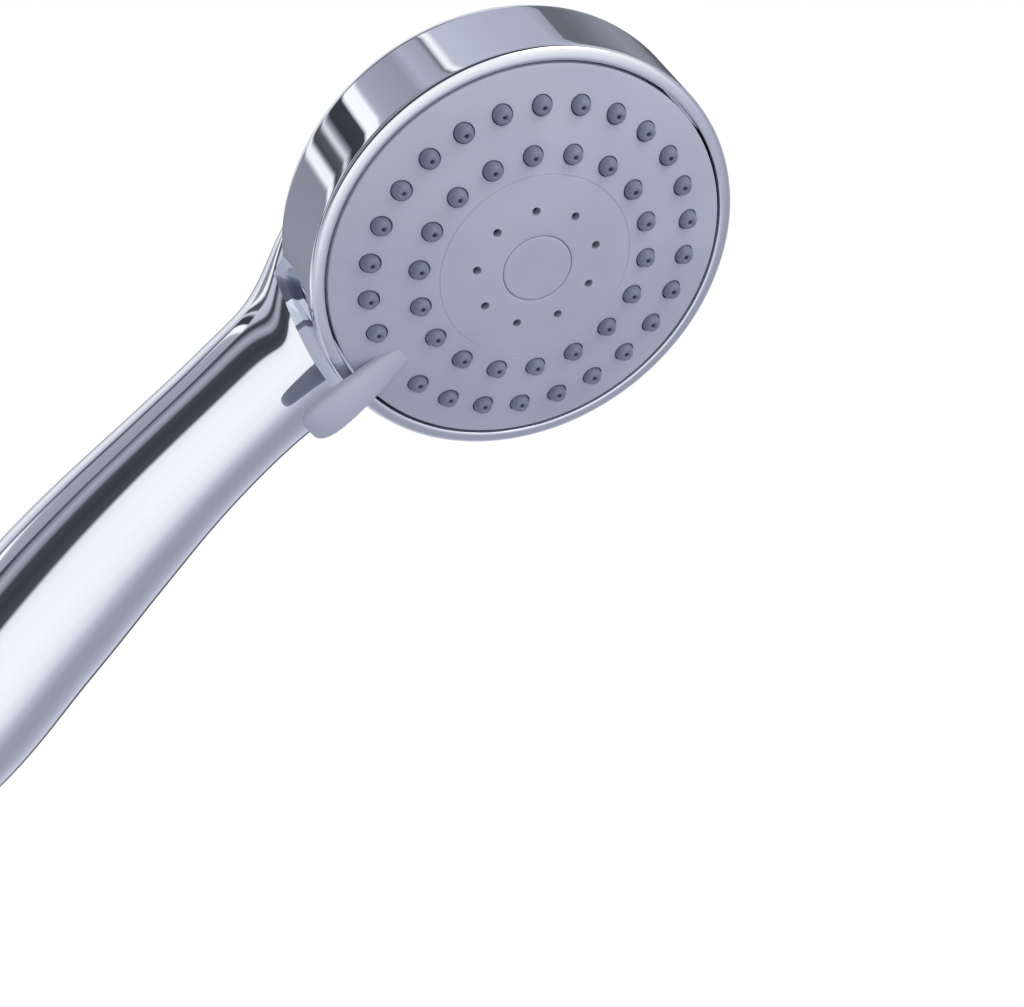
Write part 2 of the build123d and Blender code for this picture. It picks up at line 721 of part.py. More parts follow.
with BuildPart() as lever:
    with BuildSketch(head_plane(h=-1.5)):
        with BuildLine():
            Polyline(
                (-LEVER_HALF, -LEVER_END),
                (-LEVER_HALF, -LEVER_WIDE),
                (-LEVER_ROOT_HALF, -LEVER_ROOT),
                (LEVER_ROOT_HALF, -LEVER_ROOT),
                (LEVER_HALF, -LEVER_WIDE),
                (LEVER_HALF, -LEVER_END),
            )
            ThreePointArc(
                (LEVER_HALF, -LEVER_END),
                (0, -LEVER_END - LEVER_HALF),
                (-LEVER_HALF, -LEVER_END),
            )
        make_face()
    extrude(amount=12)
    with BuildSketch(head_side(-10)) as side_view:
        with BuildLine():
            Spline(
                (LEVER_ROOT - 0.5, dome(LEVER_ROOT - 0.5, 0.1)),
                (46, 5.0),
                (55.5, 6.2),
                (LEVER_END + LEVER_HALF, 3.6),
            )
            Line((LEVER_END + LEVER_HALF, 3.6), (LEVER_END + LEVER_HALF, 2.4))
            Line((LEVER_END + LEVER_HALF, 2.4), (52, 1.0))
            Line((52, 1.0), (45.6, 0.8))
            Line((45.6, 0.8), (43, -1.2))
            Line((43, -1.2), (LEVER_ROOT - 0.5, dome(LEVER_ROOT - 0.5, 0.1) - 1.5))
            Line(
                (LEVER_ROOT - 0.5, dome(LEVER_ROOT - 0.5, 0.1) - 1.5),
                (LEVER_ROOT - 0.5, dome(LEVER_ROOT - 0.5, 0.1)),
            )
        make_face()
    extrude(amount=-20, mode=Mode.INTERSECT)

with BuildPart() as faceplate:
    with BuildSketch(head_section()):
        with BuildLine():
            arc_of(dome, CAP_HOLE_R, FACE_R, 0)
            Line((FACE_R, 0), (FACE_R, FACE_SKIRT))
            Line((FACE_R, FACE_SKIRT), (FACE_SKIRT_R, FACE_SKIRT))
            Line((FACE_SKIRT_R, FACE_SKIRT), (FACE_SKIRT_R, dome(FACE_SKIRT_R, FACE_WALL)))
            arc_of(dome, FACE_SKIRT_R, WEB_R, FACE_WALL)
            Line((WEB_R, dome(WEB_R, FACE_WALL)), (WEB_R, WEB_BACK))
            Line((WEB_R, WEB_BACK), (NECK_R + RUNNING, WEB_BACK))
            Line((NECK_R + RUNNING, WEB_BACK), (NECK_R + RUNNING, WEB_FRONT))
            Line((NECK_R + RUNNING, WEB_FRONT), (CAP_HOLE_R, WEB_FRONT))
            Line((CAP_HOLE_R, WEB_FRONT), (CAP_HOLE_R, dome(CAP_HOLE_R)))
        make_face()
    revolve(axis=HEAD_AXIS)
    add(lever.part)
    with BuildSketch(head_plane(h=-6)):
        with at_angles(OUTER_RING_R, outer_angles):
            Circle(NOZZLE_HOLE_R)
        with at_angles(INNER_RING_R, inner_angles):
            Circle(NOZZLE_HOLE_R)
        with at_angles(MASSAGE_R, massage_angles):
            Circle(MASSAGE_HOLE_R)
    extrude(amount=14, mode=Mode.SUBTRACT)
save(faceplate.part, "faceplate")

# ---- turning face: silicone nozzles ---------------------------------------


def nozzle_ring(ring_r, angles, r_in, r_out):
    """A silicone sheet under the face with its nozzles standing through the holes."""
    surface = dome(ring_r)
    stem_top = surface + 0.35
    with BuildPart() as nozzles:
        with BuildSketch(head_section()):
            turned_band(r_in, r_out, FACE_WALL, FACE_WALL + MAT)
        revolve(axis=HEAD_AXIS)
        with BuildSketch(head_plane(h=surface - FACE_WALL - MAT / 2)):
            with at_angles(ring_r, angles):
                Circle(NOZZLE_R)
        extrude(amount=stem_top - surface + FACE_WALL + MAT / 2)
        with BuildSketch(head_plane(h=stem_top)):
            with at_angles(ring_r, angles):
                Circle(NOZZLE_R)
        extrude(amount=NOZZLE_HEIGHT - 0.35, taper=24)
        with BuildSketch(head_plane(h=surface - 6)):
            with at_angles(ring_r, angles):
                Circle(NOZZLE_BORE_R)
        extrude(amount=10, mode=Mode.SUBTRACT)
    return nozzles.part


save(nozzle_ring(OUTER_RING_R, outer_angles, 34.4, 41.4), "outer_nozzles")
save(nozzle_ring(INNER_RING_R, inner_angles, 23.8, 30.3), "inner_nozzles")

# ---- turning face: massage turbine ----------------------------------------
BLADES = 8
BLADE_OUT = 17.5

with BuildPart() as swirl_plate:
    with BuildSketch(head_plane(h=-6.5)):
        Circle(18.9)
        Circle(SLEEVE_R + 0.1, mode=Mode.SUBTRACT)
    extrude(amount=1.2)
    for angle in (0, 120, 240):
        turned = head_plane(h=-7).rotated((0, 0, angle))
        with BuildSketch(turned):
            with Locations((0, -15)):
                Rectangle(4.5, 1.6)
        extrude(amount=3, mode=Mode.SUBTRACT)
save(swirl_plate.part, "swirl_plate")

with BuildPart() as turbine_rotor:
    with BuildSketch(head_plane(h=-5.0)):
        Circle(SLEEVE_R + 1.6)
        with PolarLocations((SLEEVE_R + BLADE_OUT + 1) / 2, BLADES):
            Rectangle(BLADE_OUT - SLEEVE_R - 1, 0.9)
    extrude(amount=5.4)
    with BuildSketch(head_plane(h=0.0)):
        sector(SLEEVE_R + 1, BLADE_OUT + 0.1, 0, 85)
    extrude(amount=0.8)
    with BuildSketch(head_plane(h=-6)):
        Circle(SLEEVE_R + RUNNING)
    extrude(amount=8, mode=Mode.SUBTRACT)
save(turbine_rotor.part, "turbine_rotor")

# ---- turning face: what holds it on the hub --------------------------------
with BuildPart() as glide_washer:
    with BuildSketch(head_plane(h=HUB_TOP)):
        Circle(HUB_R - 0.1)
        Circle(NECK_R + 0.05, mode=Mode.SUBTRACT)
    extrude(amount=WEB_BACK - HUB_TOP)
save(glide_washer.part, "glide_washer")

WASHER_TOP = NECK_TOP + 0.7

with BuildPart() as screw_washer:
    with BuildSketch(head_plane(h=NECK_TOP)):
        Circle(6.8)
        Circle(2.1, mode=Mode.SUBTRACT)
    extrude(amount=WASHER_TOP - NECK_TOP)
save(screw_washer.part, "screw_washer")

save(pan_screw((0, 0), 2.0, -8.0, 3.6, WASHER_TOP, WASHER_TOP + 1.8), "retaining_screw")

with BuildPart() as center_cap:
    with BuildSketch(head_section()):
        with BuildLine():
            Line((0, dome(POLE_R)), (POLE_R, dome(POLE_R)))
            arc_of(dome, POLE_R, CAP_R, 0)
            Line((CAP_R, dome(CAP_R)), (CAP_R, WEB_FRONT))
            Line((CAP_R, WEB_FRONT), (CAP_R - 0.8, WEB_FRONT))
            Line((CAP_R - 0.8, WEB_FRONT), (CAP_R - 0.8, dome(CAP_R - 0.8, CAP_WALL)))
            arc_of(dome, CAP_R - 0.8, POLE_R, CAP_WALL)
            Line((POLE_R, dome(POLE_R, CAP_WALL)), (0, dome(POLE_R, CAP_WALL)))
            Line((0, dome(POLE_R, CAP_WALL)), (0, dome(POLE_R)))
        make_face()
    revolve(axis=HEAD_AXIS)
save(center_cap.part, "center_cap")
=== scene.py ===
import bpy
import bmesh
import json
import math
import numpy as np
from mathutils import Matrix, Vector


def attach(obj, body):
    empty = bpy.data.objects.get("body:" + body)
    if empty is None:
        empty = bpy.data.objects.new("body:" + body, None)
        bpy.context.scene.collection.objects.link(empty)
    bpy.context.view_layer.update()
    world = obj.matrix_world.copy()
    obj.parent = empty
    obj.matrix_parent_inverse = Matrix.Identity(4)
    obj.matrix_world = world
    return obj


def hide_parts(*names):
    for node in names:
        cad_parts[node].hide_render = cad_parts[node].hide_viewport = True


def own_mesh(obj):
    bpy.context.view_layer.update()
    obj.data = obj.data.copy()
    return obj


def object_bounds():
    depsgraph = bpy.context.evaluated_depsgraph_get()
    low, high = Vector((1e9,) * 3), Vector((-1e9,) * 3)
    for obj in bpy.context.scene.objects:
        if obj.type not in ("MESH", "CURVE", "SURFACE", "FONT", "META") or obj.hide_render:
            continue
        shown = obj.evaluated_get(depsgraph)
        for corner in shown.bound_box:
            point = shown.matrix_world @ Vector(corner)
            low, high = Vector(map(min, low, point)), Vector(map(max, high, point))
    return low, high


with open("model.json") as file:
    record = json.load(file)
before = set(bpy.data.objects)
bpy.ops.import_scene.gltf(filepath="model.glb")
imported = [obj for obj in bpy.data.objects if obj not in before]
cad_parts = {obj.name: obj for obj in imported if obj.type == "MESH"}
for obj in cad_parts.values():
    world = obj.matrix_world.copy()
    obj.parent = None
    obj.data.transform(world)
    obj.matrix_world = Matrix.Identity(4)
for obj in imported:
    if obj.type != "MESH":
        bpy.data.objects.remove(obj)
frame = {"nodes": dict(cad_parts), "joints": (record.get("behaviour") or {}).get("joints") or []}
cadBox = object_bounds()
nodes = frame["nodes"]
mm = 0.001
doublesGap = 1e-6  # metres
print("frame loaded")

# the head turns about this joint, so its place and axis give the head's own frame
faceJoint = [j for j in frame["joints"] if j["name"] == "spray_select"][0]
headCentre = Vector(faceJoint["pos_m"])
headOut = Vector(faceJoint["axis"]).normalized()
headUp = Vector((0, headOut.z, -headOut.y))


def frameMatrix(sides, place):
    # a frame with the given x, y and z directions and origin
    matrix = Matrix.Identity(4)
    for row in range(3):
        for column, side in enumerate(sides):
            matrix[row][column] = side[row]
        matrix[row][3] = place[row]
    return matrix


headMatrix = frameMatrix((Vector((1, 0, 0)), headUp, headOut), headCentre)


def headPoint(x, up, out):
    # millimetres in the head's frame to metres in the row frame
    return headMatrix @ Vector((x * mm, up * mm, out * mm))


def softShading(mesh, sharpAngle):
    mesh.shade_smooth()
    mesh.set_sharp_from_angle(angle=math.radians(sharpAngle))


def makeObject(name, bm, body, sharpAngle=35):
    # a bmesh becomes an object; a cutter and the floor have no body
    mesh = bpy.data.meshes.new(name)
    bm.to_mesh(mesh)
    bm.free()
    softShading(mesh, sharpAngle)
    piece = bpy.data.objects.new(name, mesh)
    bpy.context.scene.collection.objects.link(piece)
    if body:
        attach(piece, body)
    return piece


def spinProfile(bm, points, steps, closed=True):
    # x is the distance from the axis and z the height, in millimetres
    verts = [bm.verts.new((r * mm, 0, h * mm)) for r, h in points]
    edges = [bm.edges.new((a, b)) for a, b in zip(verts, verts[1:])]
    if closed:
        edges.append(bm.edges.new((verts[-1], verts[0])))
    bmesh.ops.spin(
        bm, geom=verts + edges, cent=(0, 0, 0), axis=(0, 0, 1), angle=2 * math.pi,
        steps=steps, use_merge=True, use_duplicate=False)
    bmesh.ops.remove_doubles(bm, verts=bm.verts, dist=doublesGap)
    bmesh.ops.recalc_face_normals(bm, faces=bm.faces)


def growRings(bm, ring, places):
    # carries a ring of points from place to place, with a wall between them and both ends closed
    edges = list({e for v in ring for e in v.link_edges})
    first = list(edges)
    bmesh.ops.transform(bm, matrix=places[0], verts=ring)
    for before, place in zip(places, places[1:]):
        grown = bmesh.ops.extrude_edge_only(bm, edges=edges)
        ring = [g for g in grown["geom"] if isinstance(g, bmesh.types.BMVert)]
        edges = [g for g in grown["geom"] if isinstance(g, bmesh.types.BMEdge)]
        bmesh.ops.transform(bm, matrix=place @ before.inverted(), verts=ring)
    bmesh.ops.holes_fill(bm, edges=first + edges, sides=0)
    bmesh.ops.recalc_face_normals(bm, faces=bm.faces)


def addShape(bm, other):
    # puts the other bmesh's shape into this one
    mesh = bpy.data.meshes.new("added")
    other.to_mesh(mesh)
    other.free()
    bm.from_mesh(mesh)
    bpy.data.meshes.remove(mesh)


def cutAway(piece, cutter):
    # takes the cutter's shape out of the piece for good
    cut = piece.modifiers.new("cut", "BOOLEAN")
    cut.operation = "DIFFERENCE"
    cut.solver = "EXACT"
    cut.object = cutter
    done = piece.evaluated_get(bpy.context.evaluated_depsgraph_get())
    mesh = bpy.data.meshes.new_from_object(done)
    piece.modifiers.clear()
    piece.data = mesh
    bpy.data.objects.remove(cutter)


def smoothThrough(xs, ys, x):
    # natural cubic curve through the given values
    xs, ys = np.array(xs, float), np.array(ys, float)
    gap = np.diff(xs)
    count = len(xs)
    matrix, right = np.eye(count), np.zeros(count)
    for k in range(1, count - 1):
        matrix[k, k - 1:k + 2] = gap[k - 1], 2 * (gap[k - 1] + gap[k]), gap[k]
        right[k] = 6 * ((ys[k + 1] - ys[k]) / gap[k] - (ys[k] - ys[k - 1]) / gap[k - 1])
    bend = np.linalg.solve(matrix, right)
    k = int(np.clip(np.searchsorted(xs, x) - 1, 0, count - 2))
    a, b = (xs[k + 1] - x) / gap[k], (x - xs[k]) / gap[k]
    return (a * ys[k] + b * ys[k + 1]
            + ((a**3 - a) * bend[k] + (b**3 - b) * bend[k + 1]) * gap[k]**2 / 6)


def newGroup(name, inputs, outputs):
    tree = bpy.data.node_groups.new(name, "ShaderNodeTree")
    for label, kind, value in inputs:
        socket = tree.interface.new_socket(name=label, in_out="INPUT", socket_type=kind)
        socket.default_value = value
    for label, kind in outputs:
        tree.interface.new_socket(name=label, in_out="OUTPUT", socket_type=kind)
    start = tree.nodes.new("NodeGroupInput")
    end = tree.nodes.new("NodeGroupOutput")
    start.location, end.location = (-900, 0), (500, 0)
    return tree, start, end


def mathNode(tree, operation, first, second=None, place=(0, 0)):
    node = tree.nodes.new("ShaderNodeMath")
    node.operation = operation
    node.location = place
    for k, value in enumerate((first, second)):
        if value is None:
            continue
        if isinstance(value, (int, float)):
            node.inputs[k].default_value = value
        else:
            tree.links.new(value, node.inputs[k])
    return node.outputs[0]


def noiseNode(tree, vector, scale, detail, place):
    node = tree.nodes.new("ShaderNodeTexNoise")
    node.location = place
    node.inputs["Detail"].default_value = detail
    tree.links.new(vector, node.inputs["Vector"])
    if isinstance(scale, (int, float)):
        node.inputs["Scale"].default_value = scale
    else:
        tree.links.new(scale, node.inputs["Scale"])
    return node.outputs["Fac"]


def rangeNode(tree, value, fromLow, fromHigh, toLow, toHigh, place):
    node = tree.nodes.new("ShaderNodeMapRange")
    node.location = place
    node.clamp = True
    tree.links.new(value, node.inputs["Value"])
    for label, given in (("From Min", fromLow), ("From Max", fromHigh),
                         ("To Min", toLow), ("To Max", toHigh)):
        if isinstance(given, (int, float)):
            node.inputs[label].default_value = given
        else:
            tree.links.new(given, node.inputs[label])
    return node.outputs["Result"]


def mixColor(tree, fac, first, second, place):
    node = tree.nodes.new("ShaderNodeMix")
    node.data_type = "RGBA"
    node.location = place
    tree.links.new(fac, node.inputs["Factor"])
    for label, given in (("A", first), ("B", second)):
        socket = [s for s in node.inputs if s.name == label and s.type == "RGBA"][0]
        if isinstance(given, tuple):
            socket.default_value = given
        else:
            tree.links.new(given, socket)
    return [s for s in node.outputs if s.type == "RGBA"][0]


def buildDriedWater():
    # faint round marks and a soft haze, as on a tap that was wiped and used again,
    # over the slow waves of plated plastic
    tree, start, end = newGroup(
        "driedWater",
        [("Vector", "NodeSocketVector", (0, 0, 0)), ("Spot Scale", "NodeSocketFloat", 170),
         ("Clean Roughness", "NodeSocketFloat", 0.04), ("Marked Roughness", "NodeSocketFloat", 0.12),
         ("Wave Height", "NodeSocketFloat", 20.0), ("Color", "NodeSocketColor", (0.8, 0.8, 0.8, 1)),
         ("Haze Color", "NodeSocketColor", (0.7, 0.7, 0.7, 1))],
        [("Roughness", "NodeSocketFloat"), ("Color", "NodeSocketColor"), ("Height", "NodeSocketFloat")])
    spots = tree.nodes.new("ShaderNodeTexVoronoi")
    spots.location = (-650, 150)
    tree.links.new(start.outputs["Vector"], spots.inputs["Vector"])
    tree.links.new(start.outputs["Spot Scale"], spots.inputs["Scale"])
    edge = rangeNode(tree, spots.outputs["Distance"], 0.10, 0.16, 1, 0, (-430, 150))
    few = noiseNode(tree, start.outputs["Vector"], 60, 1, (-650, -100))
    fewMask = rangeNode(tree, few, 0.56, 0.66, 0, 1, (-430, -100))
    spotMask = mathNode(tree, "MULTIPLY", edge, fewMask, (-230, 60))
    haze = noiseNode(tree, start.outputs["Vector"], 25, 4, (-650, -350))
    hazeMask = rangeNode(tree, haze, 0.45, 0.75, 0, 0.45, (-430, -350))
    total = mathNode(tree, "MAXIMUM", spotMask, hazeMask, (-40, -60))
    rough = rangeNode(tree, total, 0, 1, start.outputs["Clean Roughness"],
                      start.outputs["Marked Roughness"], (150, 150))
    color = mixColor(tree, total, start.outputs["Color"], start.outputs["Haze Color"], (150, -100))
    tree.links.new(rough, end.inputs["Roughness"])
    tree.links.new(color, end.inputs["Color"])
    wave = noiseNode(tree, start.outputs["Vector"], 55, 1, (-430, -550))
    waveHeight = mathNode(tree, "MULTIPLY", wave, start.outputs["Wave Height"], (-230, -550))
    height = mathNode(tree, "ADD", spotMask, waveHeight, (150, -350))
    tree.links.new(height, end.inputs["Height"])
    return tree


def buildMouldGrain():
    # spark-eroded grain of a moulded part, with slow colour and gloss changes
    tree, start, end = newGroup(
        "mouldGrain",
        [("Vector", "NodeSocketVector", (0, 0, 0)), ("Grain Scale", "NodeSocketFloat", 2200),
         ("Color", "NodeSocketColor", (0.5, 0.5, 0.5, 1)),
         ("Shade Color", "NodeSocketColor", (0.4, 0.4, 0.4, 1)),
         ("Low Roughness", "NodeSocketFloat", 0.35), ("High Roughness", "NodeSocketFloat", 0.5)],
        [("Color", "NodeSocketColor"), ("Roughness", "NodeSocketFloat"), ("Height", "NodeSocketFloat")])
    grain = noiseNode(tree, start.outputs["Vector"], start.outputs["Grain Scale"], 3, (-650, 150))
    slow = noiseNode(tree, start.outputs["Vector"], 45, 3, (-650, -150))
    slowMask = rangeNode(tree, slow, 0.35, 0.7, 0, 1, (-430, -150))
    color = mixColor(tree, slowMask, start.outputs["Color"], start.outputs["Shade Color"], (-100, -150))
    rough = rangeNode(tree, grain, 0.3, 0.7, start.outputs["Low Roughness"],
                      start.outputs["High Roughness"], (-100, 150))
    tree.links.new(color, end.inputs["Color"])
    tree.links.new(rough, end.inputs["Roughness"])
    tree.links.new(grain, end.inputs["Height"])
    return tree


def buildDrawLines():
    # fine lines round a turned or drawn metal part
    tree, start, end = newGroup(
        "drawLines",
        [("Vector", "NodeSocketVector", (0, 0, 0)), ("Line Scale", "NodeSocketFloat", 900),
         ("Color", "NodeSocketColor", (0.6, 0.6, 0.6, 1)),
         ("Dark Color", "NodeSocketColor", (0.3, 0.3, 0.3, 1)),
         ("Low Roughness", "NodeSocketFloat", 0.2), ("High Roughness", "NodeSocketFloat", 0.4)],
        [("Color", "NodeSocketColor"), ("Roughness", "NodeSocketFloat"), ("Height", "NodeSocketFloat")])
    stretch = tree.nodes.new("ShaderNodeMapping")
    stretch.location = (-650, 200)
    stretch.inputs["Scale"].default_value = (0.1, 0.1, 1)
    tree.links.new(start.outputs["Vector"], stretch.inputs["Vector"])
    lines = noiseNode(tree, stretch.outputs["Vector"], start.outputs["Line Scale"], 2, (-430, 200))
    stain = noiseNode(tree, start.outputs["Vector"], 120, 4, (-430, -150))
    stainMask = rangeNode(tree, stain, 0.5, 0.75, 0, 0.8, (-230, -150))
    color = mixColor(tree, stainMask, start.outputs["Color"], start.outputs["Dark Color"], (0, -150))
    rough = rangeNode(tree, lines, 0.3, 0.7, start.outputs["Low Roughness"],
                      start.outputs["High Roughness"], (0, 150))
    tree.links.new(color, end.inputs["Color"])
    tree.links.new(rough, end.inputs["Roughness"])
    tree.links.new(lines, end.inputs["Height"])
    return tree


driedWater = buildDriedWater()
mouldGrain = buildMouldGrain()
drawLines = buildDrawLines()
bumpStrength = 0.35


def makeMaterial(name, group, values, shaderValues, bumpDistance):
    # the group's values vary over the surface, the shader's own ones don't; the bump is in millimetres
    material = bpy.data.materials.new(name)
    material.use_nodes = True
    tree = material.node_tree
    shader = tree.nodes["Principled BSDF"]
    coords = tree.nodes.new("ShaderNodeTexCoord")
    coords.location = (-900, 0)
    effect = tree.nodes.new("ShaderNodeGroup")
    effect.node_tree = group
    effect.location = (-600, 0)
    tree.links.new(coords.outputs["Object"], effect.inputs["Vector"])
    for label, value in values.items():
        effect.inputs[label].default_value = (*value, 1) if isinstance(value, tuple) else value
    tree.links.new(effect.outputs["Color"], shader.inputs["Base Color"])
    tree.links.new(effect.outputs["Roughness"], shader.inputs["Roughness"])
    bump = tree.nodes.new("ShaderNodeBump")
    bump.location = (-300, -250)
    bump.inputs["Strength"].default_value = bumpStrength
    bump.inputs["Distance"].default_value = bumpDistance * mm
    tree.links.new(effect.outputs["Height"], bump.inputs["Height"])
    tree.links.new(bump.outputs["Normal"], shader.inputs["Normal"])
    for label, value in shaderValues.items():
        shader.inputs[label].default_value = value
    return material


def coverWith(piece, finish):
    piece.data.materials.clear()
    piece.data.materials.append(materials[finish])


outerFinishes = {
    "chromePlate": (
        driedWater, {"Color": (0.80, 0.82, 0.87), "Haze Color": (0.74, 0.76, 0.81), "Spot Scale": 210,
                     "Clean Roughness": 0.03, "Marked Roughness": 0.09, "Wave Height": 26.0},
        {"Metallic": 1.0}, 0.002),
    "chromedBrass": (
        drawLines, {"Color": (0.78, 0.77, 0.74), "Dark Color": (0.55, 0.50, 0.40), "Line Scale": 1600,
                    "Low Roughness": 0.12, "High Roughness": 0.28},
        {"Metallic": 1.0}, 0.01),
    "satinFace": (
        mouldGrain, {"Color": (0.50, 0.535, 0.63), "Shade Color": (0.455, 0.49, 0.585),
                     "Grain Scale": 2600, "Low Roughness": 0.30, "High Roughness": 0.42},
        {"Specular IOR Level": 0.6}, 0.012),
    "nozzleSilicone": (
        mouldGrain, {"Color": (0.215, 0.237, 0.325), "Shade Color": (0.178, 0.198, 0.275),
                     "Grain Scale": 3200, "Low Roughness": 0.38, "High Roughness": 0.55},
        {}, 0.01),
}
materials = {finish: makeMaterial(finish, *values) for finish, values in outerFinishes.items()}
print("materials ready")

# the chromed body: head cup and handle, in millimetres; heights are along the head axis
bodyShape = {
    "boreRadius": 46.9, "seat": -17.2, "seatRadius": 37.5, "shell": 2.5, "backDepth": 34.0, "backSphere": 111.8,
    "steps": 256, "cupSharp": 50, "insideRows": (0, 6, 12, 18, 24, 30, 35, 37.5), "backRows": (47, 0, -2),
    # distance from the head axis and height: a crisp inner edge, a flat lip and a tight outer edge
    "lip": [(46.9, -2.0), (46.9, -0.30), (46.96, -0.12), (47.12, -0.03), (47.6, -0.03), (48.0, -0.06),
            (48.4, -0.12), (48.95, -0.22), (49.3, -0.36), (49.58, -0.58), (49.8, -0.90), (49.94, -1.30),
            (50.0, -1.8)],
    "wall": [(50.0, -4), (50.0, -7), (50.0, -10), (50.0, -13), (50.0, -16), (50.0, -19), (50.0, -20.2)],
    "backCorner": [(49.97, -20.8), (49.86, -21.4), (49.62, -21.95), (49.22, -22.45), (48.6, -22.85)],
    # the gap between the handle's top and the drum, and the bridge that crosses it
    "saddleRadius": 52.7, "saddleBack": -20.7, "saddleFront": 30, "saddleSharp": 40,
    "bridgeHalf": 10.5, "bridgeTop": -16.0, "bridgeMiddle": -54, "bridgeLength": 30, "bridgeDepth": 10,
    "ridgeBevel": 0.35, "ridgeSegments": 3,
    # the handle's middle line: straight, then a long bend, then the neck
    "straightEnd": 36.0, "bendRadius": 340.0, "bendLength": 109.6, "neckDrop": 60.0, "firstNeckLean": 0.55,
    "ringPoints": 128, "ringGap": 1.3,
    # height over the lower end and share of the full size, for the small rounding there
    "endRounding": [(0.0, 0.955), (0.12, 0.975), (0.4, 0.992)],
    # length up the handle, half width, half thickness
    "handle": [(14.0, 12.0, 12.0), (24.0, 15.0, 15.0), (36.0, 17.2, 17.2), (48.0, 17.9, 17.9),
               (60.0, 17.9, 17.8), (72.0, 17.8, 17.7), (84.0, 17.3, 17.2), (96.0, 16.6, 16.5),
               (108.0, 15.8, 15.7), (120.0, 15.3, 15.2), (130.0, 15.2, 15.0), (139.0, 15.5, 15.0)],
    # distance below the head axis, height of the middle, half width, half thickness
    "neck": [(57.5, -21.2, 17.0, 15.2), (51.0, -21.8, 20.4, 15.6), (42.0, -24.0, 25.8, 13.6),
             (28.0, -25.2, 31.2, 11.8), (14.0, -25.3, 33.4, 10.3),
             (4.0, -25.2, 33.8, 9.15), (-6.0, -25.1, 33.0, 8.6), (-14.0, -25.0, 31.0, 7.9)],
}


def backHeight(radius, inside=0.0):
    s = bodyShape["backSphere"]
    return -bodyShape["backDepth"] + s - math.sqrt(s**2 - radius**2) + inside


def buildHeadCup(bm):
    b = bodyShape
    profile = [(r, backHeight(r, b["shell"])) for r in b["insideRows"]]
    profile += [(b["seatRadius"], b["seat"]), (b["boreRadius"], b["seat"])]
    profile += b["lip"] + b["wall"] + b["backCorner"]
    profile += [(r, backHeight(r)) for r in range(*b["backRows"])]
    profile += [(0, backHeight(0))]
    spinProfile(bm, profile, b["steps"], closed=False)
    bmesh.ops.transform(bm, matrix=headMatrix, verts=bm.verts)


def handleRows():
    # middle line, lean and half sizes of the handle's sections, in millimetres
    b = bodyShape
    rows = []
    for length, wide, thick in b["handle"]:
        turn = max(0.0, length - b["straightEnd"]) / b["bendRadius"]
        y = -b["bendRadius"] * (1 - math.cos(turn))
        z = min(length, b["straightEnd"]) + b["bendRadius"] * math.sin(turn)
        rows.append((length, y, z, turn, wide, thick))
    lean = math.atan2(-headUp.y, headUp.z)
    atNeck = b["straightEnd"] + b["bendLength"]
    for k, (drop, out, wide, thick) in enumerate(b["neck"]):
        p = headPoint(0, -drop, out) / mm
        blend = b["firstNeckLean"] if k == 0 else 1.0
        rows.append((atNeck + b["neckDrop"] - drop, p.y, p.z,
                     b["bendLength"] / b["bendRadius"] * (1 - blend) + lean * blend, wide, thick))
    return rows


def buildHandle(bm):
    b = bodyShape
    rows = handleRows()
    columns = list(zip(*rows))
    first, last = rows[0][0], rows[-1][0]
    count = int((last - first) / b["ringGap"])
    sections = [(first + rise, share) for rise, share in b["endRounding"]]
    sections += [(first + (last - first) * k / count, 1.0) for k in range(1, count + 1)]
    places = []
    for length, share in sections:
        y, z, lean, wide, thick = [smoothThrough(columns[0], column, length) for column in columns[1:]]
        places.append(Matrix.Translation((0, y * mm, z * mm)) @ Matrix.Rotation(lean, 4, "X")
                      @ Matrix.Diagonal((wide * share * mm, thick * share * mm, 1, 1)))
    made = bmesh.ops.create_circle(bm, cap_ends=False, radius=1.0, segments=b["ringPoints"])
    growRings(bm, made["verts"], places)


def buildSaddleCutter():
    b = bodyShape
    bm = bmesh.new()
    spinProfile(bm, [(0, b["saddleBack"]), (b["saddleRadius"], b["saddleBack"]),
                     (b["saddleRadius"], b["saddleFront"]), (0, b["saddleFront"])], b["steps"], closed=False)
    bmesh.ops.transform(bm, matrix=headMatrix, verts=bm.verts)
    cutter = makeObject("saddleCutter", bm, None)
    # the bridge across the gap stays, because it carries the water into the head
    bm = bmesh.new()
    bmesh.ops.create_cube(bm, size=1.0)
    size = Vector((2 * b["bridgeHalf"], b["bridgeLength"], b["bridgeDepth"]))
    bmesh.ops.scale(bm, vec=size * mm, verts=bm.verts)
    middle = Vector((0, b["bridgeMiddle"], b["bridgeTop"] - b["bridgeDepth"] / 2))
    bmesh.ops.translate(bm, vec=middle * mm, verts=bm.verts)
    bmesh.ops.transform(bm, matrix=headMatrix, verts=bm.verts)
    cutAway(cutter, makeObject("bridgeKeeper", bm, None))
    return cutter


def buildBody():
    b = bodyShape
    bm = bmesh.new()
    buildHandle(bm)
    body = makeObject("chromeHandle", bm, "handle", b["saddleSharp"])
    cutAway(body, buildSaddleCutter())
    softShading(body.data, b["saddleSharp"])
    ridge = body.modifiers.new("ridge", "BEVEL")
    ridge.width = b["ridgeBevel"] * mm
    ridge.segments = b["ridgeSegments"]
    ridge.limit_method = "ANGLE"
    ridge.angle_limit = math.radians(b["saddleSharp"])
    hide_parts("body_shell")
    bm = bmesh.new()
    buildHeadCup(bm)
    cup = makeObject("chromeHead", bm, "handle", b["cupSharp"])
    coverWith(body, "chromePlate")
    coverWith(cup, "chromePlate")


buildBody()
print("chromed body built")

